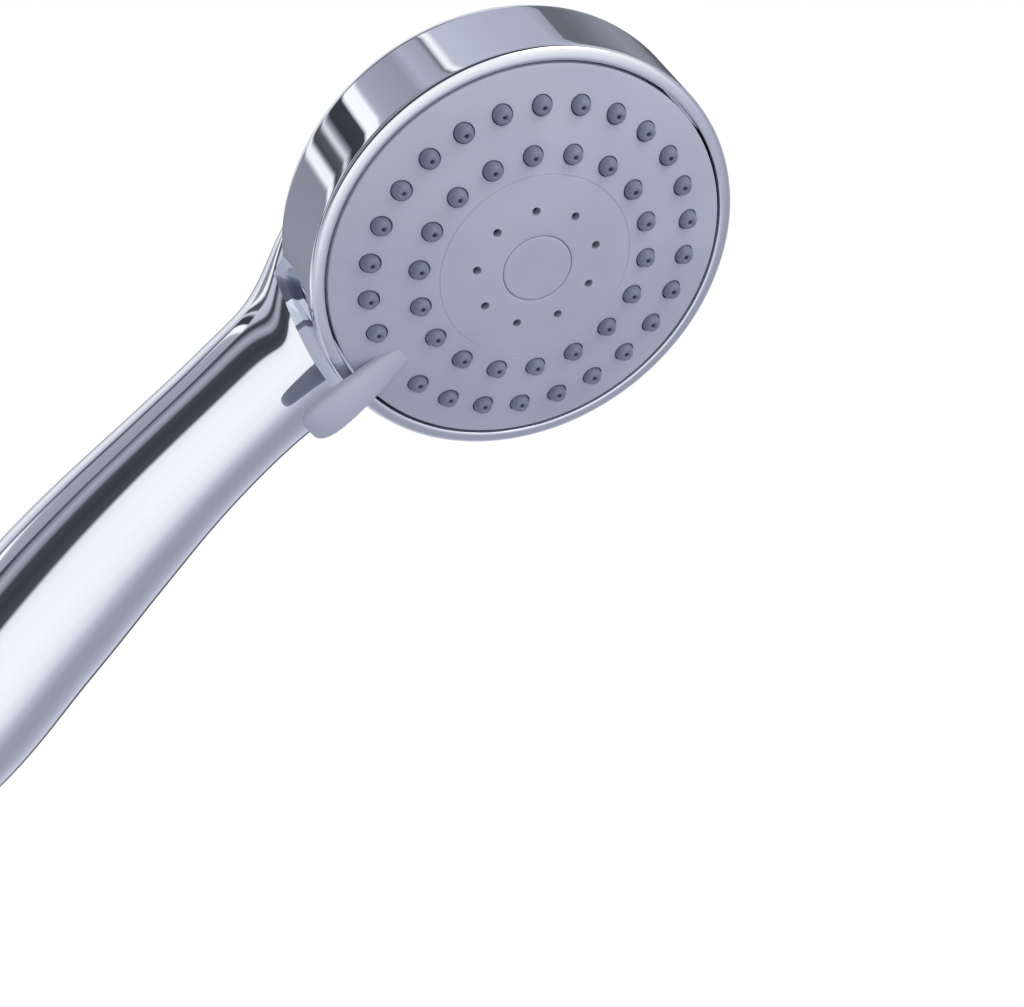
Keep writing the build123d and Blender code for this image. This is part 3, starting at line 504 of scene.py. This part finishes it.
# the spray face with its lever and cap; heights are along the head axis
faceShape = {
    "rimRadius": 46.25, "rise": 6.8, "wall": 2.2, "skirt": -9.6, "skirtRadius": 43.9, "steps": 240, "sharp": 30,
    # the web under the cap and the edge of the cap's hole
    "capHole": 8.12, "web": 3.2, "webBack": 1.4, "webRadius": 11, "neckHole": 5.05,
    "holeSink": 0.16, "holeCut": 0.05, "edgeSoft": 0.18,
    # the fine line round the massage holes
    "lineRadius": 22.4, "lineHalf": 0.06, "lineDepth": 0.14,
    "insideLine": (9.2, 10.6, 12, 13.4, 14.8, 16.2, 17.6, 19, 20.4, 21.6), "outsideLine": (23.4, 44.9, 1.4),
    # distance inside the rim and depth below the dome, then the heights of the rim's side
    "rimEdge": [(0.45, 0.0), (0.2, 0.03), (0.06, 0.12)], "rimSide": (-0.32, -4),
    "behindRows": (40, 34, 28, 22, 16, 11),
    "outerRing": 37.8, "outerCount": 26, "innerRing": 27.1, "innerCount": 18,
    "massageRing": 14.2, "massageCount": 9, "massageRadius": 1.0, "massagePoints": 20,
    "nozzleHole": 2.42, "nozzlePoints": 32, "holeDepth": 16, "holeMiddle": 1.0,
    "leverPoints": 12, "leverSquare": 0.13, "leverLevels": 3, "leverSharp": 60,
    # distance from the axis, height of the middle, half width, half height
    "lever": [(34.2, 2.35, 1.4, 0.40), (35.4, 2.30, 2.4, 0.85), (38.0, 2.15, 3.05, 1.40),
              (41.5, 2.10, 3.55, 1.95), (45.0, 2.70, 4.00, 2.20), (48.5, 3.10, 4.40, 2.30),
              (52.0, 3.40, 4.70, 2.42), (55.5, 3.70, 4.85, 2.45), (58.5, 3.80, 4.80, 2.20),
              (60.8, 3.72, 4.15, 1.70), (62.2, 3.60, 2.70, 1.00)],
}
faceSphere = (faceShape["rimRadius"]**2 + faceShape["rise"]**2) / (2 * faceShape["rise"])


def domeHeight(radius, below=0.0):
    return faceShape["rise"] - faceSphere + math.sqrt(faceSphere**2 - radius**2) - below


def ringPlaces(radius, count, start=0):
    # places on a ring round the head axis, the first one down the handle
    turn = 2 * math.pi / count
    return [(radius * math.sin(k * turn), -radius * math.cos(k * turn)) for k in range(start, count)]


# the lever takes the outer ring's first place
outerPlaces = ringPlaces(faceShape["outerRing"], faceShape["outerCount"], start=1)
innerPlaces = ringPlaces(faceShape["innerRing"], faceShape["innerCount"])
massagePlaces = ringPlaces(faceShape["massageRing"], faceShape["massageCount"])


def copyToPlaces(bm, places, height):
    # repeats what the bmesh holds at each place, then drops the first one
    seed = list(bm.verts) + list(bm.edges) + list(bm.faces)
    for x, y in places:
        made = bmesh.ops.duplicate(bm, geom=seed)
        verts = [g for g in made["geom"] if isinstance(g, bmesh.types.BMVert)]
        bmesh.ops.translate(bm, vec=(x * mm, y * mm, height * mm), verts=verts)
    bmesh.ops.delete(bm, geom=[g for g in seed if isinstance(g, bmesh.types.BMVert)], context="VERTS")


def buildHoleCutter():
    f = faceShape
    bm = bmesh.new()
    for places, radius, points in ((outerPlaces + innerPlaces, f["nozzleHole"], f["nozzlePoints"]),
                                   (massagePlaces, f["massageRadius"], f["massagePoints"])):
        holes = bmesh.new()
        bmesh.ops.create_cone(holes, cap_ends=True, segments=points, radius1=radius * mm,
                              radius2=radius * mm, depth=f["holeDepth"] * mm)
        copyToPlaces(holes, places, f["holeMiddle"])
        addShape(bm, holes)
    bmesh.ops.transform(bm, matrix=headMatrix, verts=bm.verts)
    return makeObject("holeCutter", bm, None)


def buildFace():
    f = faceShape
    hole, line, rim = f["capHole"], f["lineRadius"], f["rimRadius"]
    soft, half = f["edgeSoft"], f["lineHalf"]
    profile = [(f["neckHole"], f["webBack"]), (f["neckHole"], f["web"]), (hole, f["web"])]
    profile += [(hole, domeHeight(hole, f["holeSink"])), (hole + f["holeCut"], domeHeight(hole, f["holeCut"])),
                (hole + soft, domeHeight(hole + soft))]
    profile += [(r, domeHeight(r)) for r in f["insideLine"]]
    profile += [(line - soft, domeHeight(line - soft)), (line - half, domeHeight(line, f["lineDepth"])),
                (line + half, domeHeight(line, f["lineDepth"])), (line + soft, domeHeight(line + soft))]
    profile += [(r, domeHeight(r)) for r in np.arange(*f["outsideLine"])]
    profile += [(rim - inside, domeHeight(rim - inside, below)) for inside, below in f["rimEdge"]]
    profile += [(rim, height) for height in f["rimSide"]] + [(rim, f["skirt"])]
    profile += [(f["skirtRadius"], f["skirt"]), (f["skirtRadius"], domeHeight(f["skirtRadius"], f["wall"]))]
    profile += [(r, domeHeight(r, f["wall"])) for r in f["behindRows"]]
    profile += [(f["webRadius"], f["webBack"])]
    bm = bmesh.new()
    spinProfile(bm, profile, f["steps"])
    bmesh.ops.transform(bm, matrix=headMatrix, verts=bm.verts)
    face = makeObject("sprayFace", bm, "spray_face", f["sharp"])
    cutAway(face, buildHoleCutter())
    softShading(face.data, f["sharp"])
    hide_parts("faceplate")
    coverWith(face, "satinFace")


def buildLever():
    f = faceShape
    bm = bmesh.new()
    made = bmesh.ops.create_circle(bm, cap_ends=False, radius=1.0, segments=f["leverPoints"])
    # flatter top and sides than an ellipse
    for v in made["verts"]:
        square = 1.0 + f["leverSquare"] * abs(math.sin(2 * math.atan2(v.co.y, v.co.x)))
        v.co.x *= square
        v.co.y *= square
    # each section stands across the lever, which runs down the face
    growRings(bm, made["verts"], [
        Matrix.Translation((0, -away * mm, height * mm)) @ Matrix.Rotation(math.radians(90), 4, "X")
        @ Matrix.Diagonal((wide * mm, high * mm, 1, 1)) for away, height, wide, high in f["lever"]])
    bmesh.ops.transform(bm, matrix=headMatrix, verts=bm.verts)
    lever = makeObject("selectorLever", bm, "spray_face", f["leverSharp"])
    smooth = lever.modifiers.new("smooth", "SUBSURF")
    smooth.levels = smooth.render_levels = f["leverLevels"]
    coverWith(lever, "satinFace")


capShape = {
    # its gap in the hole, its thickness, the width of its foot and the foot's lift off the web
    "gap": 0.14, "thick": 0.7, "footWidth": 0.8, "footLift": 0.02,
    # the rounded edge: depths below the dome and distances inside the edge
    "edgeDrop": 0.22, "cornerDrop": 0.08, "cornerInside": 0.05, "edgeSoft": 0.2,
    "underRows": (0, 3, 6), "topRows": (7.2, 6, 4.5, 3, 1.5, 0), "steps": 96, "sharp": 30,
}


def buildCap():
    c = capShape
    radius = faceShape["capHole"] - c["gap"]
    inner, soft = radius - c["footWidth"], radius - c["edgeSoft"]
    foot = faceShape["web"] + c["footLift"]
    profile = [(r, domeHeight(r, c["thick"])) for r in (*c["underRows"], inner)]
    profile += [(inner, foot), (radius, foot), (radius, domeHeight(radius, c["edgeDrop"])),
                (radius - c["cornerInside"], domeHeight(radius, c["cornerDrop"])), (soft, domeHeight(soft))]
    profile += [(r, domeHeight(r)) for r in c["topRows"]]
    bm = bmesh.new()
    spinProfile(bm, profile, c["steps"], closed=False)
    bmesh.ops.transform(bm, matrix=headMatrix, verts=bm.verts)
    cap = makeObject("centreCap", bm, "spray_face", c["sharp"])
    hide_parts("center_cap")
    coverWith(cap, "satinFace")


nozzleShape = {
    "steps": 28, "sharp": 40,
    # the sheet behind the face that the nozzles grow from
    "sheetGap": 0.03, "sheetDepth": 1.2, "sheetRows": 5, "sheetSteps": 120,
    "outerSheet": (34.4, 41.4), "innerSheet": (23.8, 30.3),
    # distance from the nozzle's axis, height over the face
    "profile": [(0.45, -3.4), (0.45, 1.50), (0.55, 1.72), (0.80, 1.88), (1.10, 1.86), (1.42, 1.70), (1.72, 1.38),
                (1.95, 0.92), (2.10, 0.42), (2.17, -0.1), (2.20, -0.8), (2.20, -2.3)],
}


def buildNozzles(name, node, places, ring, sheetEnds):
    n = nozzleShape
    bm = bmesh.new()
    spinProfile(bm, n["profile"], n["steps"], closed=False)
    copyToPlaces(bm, places, domeHeight(ring))
    front, back = faceShape["wall"] + n["sheetGap"], faceShape["wall"] + n["sheetDepth"]
    inner, outer = sheetEnds
    sheet = [(r, domeHeight(r, front)) for r in np.linspace(inner, outer, n["sheetRows"])]
    sheet += [(r, domeHeight(r, back)) for r in np.linspace(outer, inner, n["sheetRows"])]
    spinProfile(bm, sheet, n["sheetSteps"])
    bmesh.ops.transform(bm, matrix=headMatrix, verts=bm.verts)
    nozzles = makeObject(name, bm, "spray_face", n["sharp"])
    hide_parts(node)
    coverWith(nozzles, "nozzleSilicone")


buildFace()
buildLever()
buildCap()
buildNozzles("outerNozzles", "outer_nozzles", outerPlaces, faceShape["outerRing"], nozzleShape["outerSheet"])
buildNozzles("innerNozzles", "inner_nozzles", innerPlaces, faceShape["innerRing"], nozzleShape["innerSheet"])
print("spray face built")

# the threaded inlet; heights are above the handle's lower end
inletShape = {
    "root": 9.32, "pitch": 1.814, "turns": 5.6, "ridgeSteps": 64, "ridgeStart": 0.75,
    "steps": 128, "sharp": 30,
    # one tooth: distance from the axis and height as a share of the pitch
    "tooth": [(9.17, 0.02), (9.32, 0.06), (10.3175, 0.40), (10.4775, 0.47),
              (10.4775, 0.53), (10.3175, 0.60), (9.32, 0.94), (9.17, 0.98)],
    # height where the ridge begins or ends and the length it takes to reach its full size
    "runIn": (0.4, 1.6), "runOut": (12.1, 1.2),
    # plug, collar and bore of the inlet
    "profile": [(7.0, 0.25), (7.25, 0.0), (9.0, 0.0), (9.32, 0.35), (9.32, 12.3), (9.4, 12.8), (11.2, 12.8),
                (11.4, 13.0), (11.4, 13.8), (11.25, 14.0), (9.9, 14.0), (9.9, 22.8), (8.9, 22.8), (8.9, 24.2),
                (9.9, 24.2), (9.9, 27.8), (8.9, 27.8), (8.9, 29.2), (9.9, 29.2), (9.9, 32.0), (4.95, 32.0),
                (4.95, 22.4), (3.2, 22.4), (3.2, 17.0), (7.0, 17.0)],
}


def buildInlet():
    t = inletShape
    bm = bmesh.new()
    spinProfile(bm, t["profile"], t["steps"])
    # the thread's ridge, one tooth carried round and up
    ridge = bmesh.new()
    verts = [ridge.verts.new((r * mm, 0, (share * t["pitch"] + t["ridgeStart"]) * mm))
             for r, share in t["tooth"]]
    section = ridge.faces.new(verts)
    bmesh.ops.spin(ridge, geom=[section], cent=(0, 0, 0), axis=(0, 0, 1), angle=2 * math.pi * t["turns"],
                   steps=int(t["ridgeSteps"] * t["turns"]), dvec=(0, 0, t["pitch"] * mm / t["ridgeSteps"]),
                   use_duplicate=False)
    bmesh.ops.recalc_face_normals(ridge, faces=ridge.faces)
    # the ridge runs out at both ends
    (low, lowLength), (high, highLength) = t["runIn"], t["runOut"]
    root = t["root"] * mm
    for v in ridge.verts:
        height = v.co.z / mm
        fade = max(min((height - low) / lowLength, (high - height) / highLength, 1.0), 0.0)
        away = math.hypot(v.co.x, v.co.y)
        if away > root:
            wanted = root + (away - root) * fade
            v.co.x *= wanted / away
            v.co.y *= wanted / away
    addShape(bm, ridge)
    inlet = makeObject("threadedInlet", bm, "handle", t["sharp"])
    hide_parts("inlet_nipple")
    coverWith(inlet, "chromedBrass")


buildInlet()
print("inlet built")

# the pieces inside keep their own shapes and get a finish each
innerFinishes = {
    "blackRubber": (
        mouldGrain, {"Color": (0.020, 0.020, 0.021), "Shade Color": (0.030, 0.030, 0.032),
                     "Grain Scale": 2500, "Low Roughness": 0.45, "High Roughness": 0.65},
        {}, 0.01),
    "screenSteel": (
        drawLines, {"Color": (0.50, 0.50, 0.51), "Dark Color": (0.33, 0.32, 0.30), "Line Scale": 2400,
                    "Low Roughness": 0.28, "High Roughness": 0.42},
        {"Metallic": 1.0}, 0.01),
    "regulatorPlastic": (
        mouldGrain, {"Color": (0.055, 0.22, 0.10), "Shade Color": (0.045, 0.18, 0.085),
                     "Grain Scale": 1800, "Low Roughness": 0.35, "High Roughness": 0.5},
        {}, 0.01),
    "naturalPlastic": (
        mouldGrain, {"Color": (0.62, 0.61, 0.57), "Shade Color": (0.56, 0.55, 0.50),
                     "Grain Scale": 1500, "Low Roughness": 0.38, "High Roughness": 0.55},
        {}, 0.02),
    "screwSteel": (
        drawLines, {"Color": (0.55, 0.55, 0.56), "Dark Color": (0.38, 0.37, 0.36), "Line Scale": 1500,
                    "Low Roughness": 0.18, "High Roughness": 0.32},
        {"Metallic": 1.0}, 0.006),
    "redSilicone": (
        mouldGrain, {"Color": (0.36, 0.05, 0.035), "Shade Color": (0.30, 0.04, 0.03),
                     "Grain Scale": 2600, "Low Roughness": 0.4, "High Roughness": 0.55},
        {}, 0.01),
    "springSteel": (
        drawLines, {"Color": (0.46, 0.46, 0.48), "Dark Color": (0.30, 0.30, 0.31), "Line Scale": 3200,
                    "Low Roughness": 0.2, "High Roughness": 0.35},
        {"Metallic": 1.0}, 0.004),
    "whiteAcetal": (
        mouldGrain, {"Color": (0.78, 0.78, 0.75), "Shade Color": (0.72, 0.72, 0.69),
                     "Grain Scale": 1300, "Low Roughness": 0.22, "High Roughness": 0.34},
        {}, 0.006),
    "greyPlastic": (
        mouldGrain, {"Color": (0.44, 0.46, 0.51), "Shade Color": (0.40, 0.42, 0.47),
                     "Grain Scale": 1700, "Low Roughness": 0.4, "High Roughness": 0.55},
        {}, 0.02),
    "orangeAcetal": (
        mouldGrain, {"Color": (0.60, 0.21, 0.03), "Shade Color": (0.54, 0.18, 0.025),
                     "Grain Scale": 1400, "Low Roughness": 0.25, "High Roughness": 0.38},
        {}, 0.008),
}
for finish, values in innerFinishes.items():
    materials[finish] = makeMaterial(finish, *values)

nodeFinishes = {
    "body_shell": "chromePlate", "inlet_nipple": "chromedBrass", "nipple_orings": "blackRubber",
    "filter_screen": "screenSteel", "flow_regulator": "regulatorPlastic", "regulator_oring": "blackRubber",
    "waterway_tube": "naturalPlastic", "tube_orings": "blackRubber", "manifold": "naturalPlastic",
    "manifold_screws": "screwSteel", "manifold_oring": "blackRubber", "hub_oring": "blackRubber",
    "port_seal": "redSilicone", "port_seal_spring": "springSteel", "detent_pin": "whiteAcetal",
    "detent_spring": "springSteel", "chamber_plate": "greyPlastic", "faceplate": "satinFace",
    "outer_nozzles": "nozzleSilicone", "inner_nozzles": "nozzleSilicone", "swirl_plate": "greyPlastic",
    "turbine_rotor": "orangeAcetal", "glide_washer": "whiteAcetal", "screw_washer": "screwSteel",
    "retaining_screw": "screwSteel", "center_cap": "satinFace",
}
for node, finish in nodeFinishes.items():
    coverWith(nodes[node], finish)
print("inner pieces finished")

# the springs behind the port seal and the detent pin, each built at one length
springSteps, springPoints, springSharp = 28, 12, 40
springs = {
    # up: distance above the head axis; back: where the spring stands; all in millimetres
    "portSpring": {"node": "port_seal_spring", "joint": "port_seal_slide", "up": -31.0, "back": -21.5,
                   "radius": 4.9, "wire": 0.4, "length": 6.0, "pitch": 1.7, "travel": 1.0},
    "detentSpring": {"node": "detent_spring", "joint": "detent_slide", "up": 22.0, "back": -20.5,
                     "radius": 1.45, "wire": 0.25, "length": 4.5, "pitch": 1.1, "travel": 1.0},
}


def buildSpring(name, s):
    bm = bmesh.new()
    bmesh.ops.create_circle(bm, cap_ends=True, radius=s["wire"] * mm, segments=springPoints)
    bmesh.ops.rotate(bm, cent=(0, 0, 0), matrix=Matrix.Rotation(math.pi / 2, 3, "X"), verts=bm.verts)
    bmesh.ops.translate(bm, vec=(s["radius"] * mm, 0, s["wire"] * mm), verts=bm.verts)
    rise = s["length"] - 2 * s["wire"]
    turns = rise / s["pitch"]
    total = int(springSteps * turns)
    bmesh.ops.spin(bm, geom=list(bm.faces), cent=(0, 0, 0), axis=(0, 0, 1), angle=2 * math.pi * turns,
                   steps=total, dvec=(0, 0, rise * mm / total), use_duplicate=False)
    bmesh.ops.recalc_face_normals(bm, faces=bm.faces)
    bmesh.ops.translate(bm, vec=(0, s["up"] * mm, s["back"] * mm), verts=bm.verts)
    bmesh.ops.transform(bm, matrix=headMatrix, verts=bm.verts)
    spring = makeObject(name, bm, "handle", springSharp)
    coverWith(spring, "springSteel")
    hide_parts(s["node"])
    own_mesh(spring)


for name, values in springs.items():
    buildSpring(name, values)
print("springs built")

# where the camera stands and how it is turned, in the head's frame (side, up, out)
cameraPlace = {
    "place": (-391.7, -1.3, 511.4),
    "right": (0.4772, 0.8012, 0.3611),
    "forward": (0.6581, -0.0534, -0.7511),
    "lens": 101.95, "sensor": 36,
}

# floor and lights, in metres
studio = {
    "floorDrop": 0.12, "floorSize": 6.0, "floorColor": (0.86, 0.86, 0.87, 1), "floorRoughness": 0.7,
    "keyPower": 2.0, "keySize": 0.55, "keyPlace": (-0.45, -0.55, 0.62),
    "roomStrength": 1.25, "seenColor": (1, 1, 1, 1),
    # the flags and ends below: cosines of the angle from their own direction
    "flagColor": (0.09, 0.09, 0.11, 1), "flagEdge": 0.915, "flagFull": 0.955,
    "behindEdge": (0.60, 0.64), "behindEnd": (0.88, 0.91),
    "endColor": (0.50, 0.52, 0.58, 1), "ceiling": (0.90, 0.98), "ground": (-0.80, -0.95),
    # the greys' lean to blue: full below the first brightness, none above the second
    "blueFull": 0.50, "blueNone": 0.85, "blueTint": (-0.07, -0.03, 0.14),
    # bearing in degrees round the room (0 front, 90 left, 180 back, -90 right) and brightness
    "walls": [(-180, 0.80), (-165, 0.55), (-152, 0.50), (-128, 0.62), (-110, 0.55), (-90, 0.40), (-68, 0.315),
              (-50, 0.33), (-36, 0.46), (-24, 0.68), (-8, 0.84), (20, 0.90), (52, 0.86), (63, 0.78),
              (68, 0.07), (84, 0.045), (99, 0.06), (104, 0.26), (112, 0.40), (120, 0.22), (124, 0.05),
              (130, 0.07), (134, 0.46), (147, 0.58), (151, 0.10), (158, 0.08), (163, 0.50), (174, 0.70),
              (180, 0.80)],
    # angle round the head axis (0 down the handle, 90 to +X) for what stands behind the head
    "behind": [(-180, 0.32), (-172, 0.42), (-150, 0.44), (-128, 0.50), (-119, 0.52), (-117, 0.85), (-114.5, 0.90),
               (-113, 0.12), (-110, 0.36), (-100, 0.42), (-94, 0.30), (-84, 0.33), (-76, 0.36), (-71, 0.42),
               (-69, 0.90), (-61, 0.94), (-59.5, 0.05), (-49, 0.04), (-46, 0.30), (-43, 0.75), (-40, 0.10),
               (-33, 0.06), (-30, 0.85), (-25, 0.88), (-22, 0.25), (-12, 0.26), (20, 0.27), (42, 0.24),
               (54, 0.12), (90, 0.12), (140, 0.26), (170, 0.14)],
}


def lightRamp(tree, angle, stops):
    # brightness along an angle; the greys lean to blue and the whites stay neutral
    along = rangeNode(tree, angle, -math.pi, math.pi, 0.0, 1.0, (0, 0))
    ramp = tree.nodes.new("ShaderNodeValToRGB")
    tree.links.new(along, ramp.inputs["Fac"])
    marks = ramp.color_ramp.elements
    while len(marks) > 1:
        marks.remove(marks[-1])
    for k, (degrees, light) in enumerate(stops):
        place = (degrees + 180) / 360
        mark = marks[0] if k == 0 else marks.new(place)
        mark.position = place
        blue = (studio["blueNone"] - light) / (studio["blueNone"] - studio["blueFull"])
        blue = max(0.0, min(1.0, blue))
        mark.color = (*[light * (1 + tint * blue) for tint in studio["blueTint"]], 1)
    return ramp.outputs["Color"]


def buildFloor():
    bm = bmesh.new()
    bmesh.ops.create_grid(bm, x_segments=1, y_segments=1, size=studio["floorSize"] / 2)
    bmesh.ops.translate(bm, vec=(0, 0, cadBox[0].z - studio["floorDrop"]), verts=bm.verts)
    floor = makeObject("studioFloor", bm, None)
    paint = bpy.data.materials.new("palePaint")
    paint.use_nodes = True
    shader = paint.node_tree.nodes["Principled BSDF"]
    shader.inputs["Base Color"].default_value = studio["floorColor"]
    shader.inputs["Roughness"].default_value = studio["floorRoughness"]
    floor.data.materials.append(paint)
    floor.visible_glossy = False  # the chrome shows the studio, not the floor's far edge


def dotNode(tree, vector, direction):
    node = tree.nodes.new("ShaderNodeVectorMath")
    node.operation = "DOT_PRODUCT"
    tree.links.new(vector, node.inputs[0])
    node.inputs[1].default_value = direction
    return node.outputs["Value"]


def buildSurroundings():
    # a pale studio with dark flags: one set round the room, one set behind the head
    s = studio
    world = bpy.data.worlds.new("studioRoom")
    bpy.context.scene.world = world
    world.use_nodes = True
    tree = world.node_tree
    tree.nodes.clear()
    coords = tree.nodes.new("ShaderNodeTexCoord")
    look = coords.outputs["Generated"]
    bearing = mathNode(tree, "ARCTAN2", dotNode(tree, look, (-1, 0, 0)), dotNode(tree, look, (0, -1, 0)))
    walls = lightRamp(tree, bearing, s["walls"])
    turned = mathNode(tree, "ARCTAN2", dotNode(tree, look, (1, 0, 0)), dotNode(tree, look, tuple(-headUp)))
    behind = lightRamp(tree, turned, s["behind"])
    # the flags behind the head fill a ring of directions round the head axis
    lean = dotNode(tree, look, tuple(-headOut))
    inside = rangeNode(tree, lean, *s["behindEdge"], 0.0, 1.0, (0, -200))
    outside = rangeNode(tree, lean, *s["behindEnd"], 1.0, 0.0, (0, -300))
    ringMask = mathNode(tree, "MULTIPLY", inside, outside)
    room = mixColor(tree, ringMask, walls, behind, (200, 0))
    # a soft dark flag straight behind the object draws its outline in the chrome
    ahead = dotNode(tree, look, tuple(headMatrix.to_3x3() @ Vector(cameraPlace["forward"])))
    flag = rangeNode(tree, ahead, s["flagEdge"], s["flagFull"], 0.0, 1.0, (0, -350))
    room = mixColor(tree, flag, room, s["flagColor"], (300, 0))
    # pale ceiling and floor
    height = dotNode(tree, look, (0, 0, 1))
    high = rangeNode(tree, height, *s["ceiling"], 0.0, 1.0, (0, -400))
    low = rangeNode(tree, height, *s["ground"], 0.0, 1.0, (0, -500))
    ends = mathNode(tree, "MAXIMUM", high, low)
    room = mixColor(tree, ends, room, s["endColor"], (400, 0))
    seen = tree.nodes.new("ShaderNodeBackground")
    seen.inputs["Color"].default_value = s["seenColor"]
    lit = tree.nodes.new("ShaderNodeBackground")
    tree.links.new(room, lit.inputs["Color"])
    lit.inputs["Strength"].default_value = s["roomStrength"]
    path = tree.nodes.new("ShaderNodeLightPath")
    mixed = tree.nodes.new("ShaderNodeMixShader")
    tree.links.new(path.outputs["Is Camera Ray"], mixed.inputs["Fac"])
    tree.links.new(lit.outputs["Background"], mixed.inputs[1])
    tree.links.new(seen.outputs["Background"], mixed.inputs[2])
    end = tree.nodes.new("ShaderNodeOutputWorld")
    tree.links.new(mixed.outputs["Shader"], end.inputs["Surface"])


def buildKeyLight():
    lamp = bpy.data.lights.new("softKey", "AREA")
    lamp.energy = studio["keyPower"]
    lamp.size = studio["keySize"]
    key = bpy.data.objects.new("softKey", lamp)
    bpy.context.scene.collection.objects.link(key)
    key.location = headCentre + Vector(studio["keyPlace"])
    key.rotation_mode = "QUATERNION"
    key.rotation_quaternion = (headCentre - key.location).to_track_quat("-Z", "Y")


def buildCamera():
    c = cameraPlace
    turn = headMatrix.to_3x3()
    right = (turn @ Vector(c["right"])).normalized()
    forward = (turn @ Vector(c["forward"])).normalized()
    down = forward.cross(right).normalized()
    right = down.cross(forward).normalized()
    data = bpy.data.cameras.new("camera")
    data.lens = c["lens"]
    data.sensor_width = c["sensor"]
    camera = bpy.data.objects.new("camera", data)
    bpy.context.scene.collection.objects.link(camera)
    camera.matrix_world = frameMatrix((right, -down, -forward), headPoint(*c["place"]))
    bpy.context.scene.camera = camera


buildFloor()
buildSurroundings()
buildKeyLight()
buildCamera()
bpy.context.scene.view_settings.view_transform = "Standard"
print("studio ready")
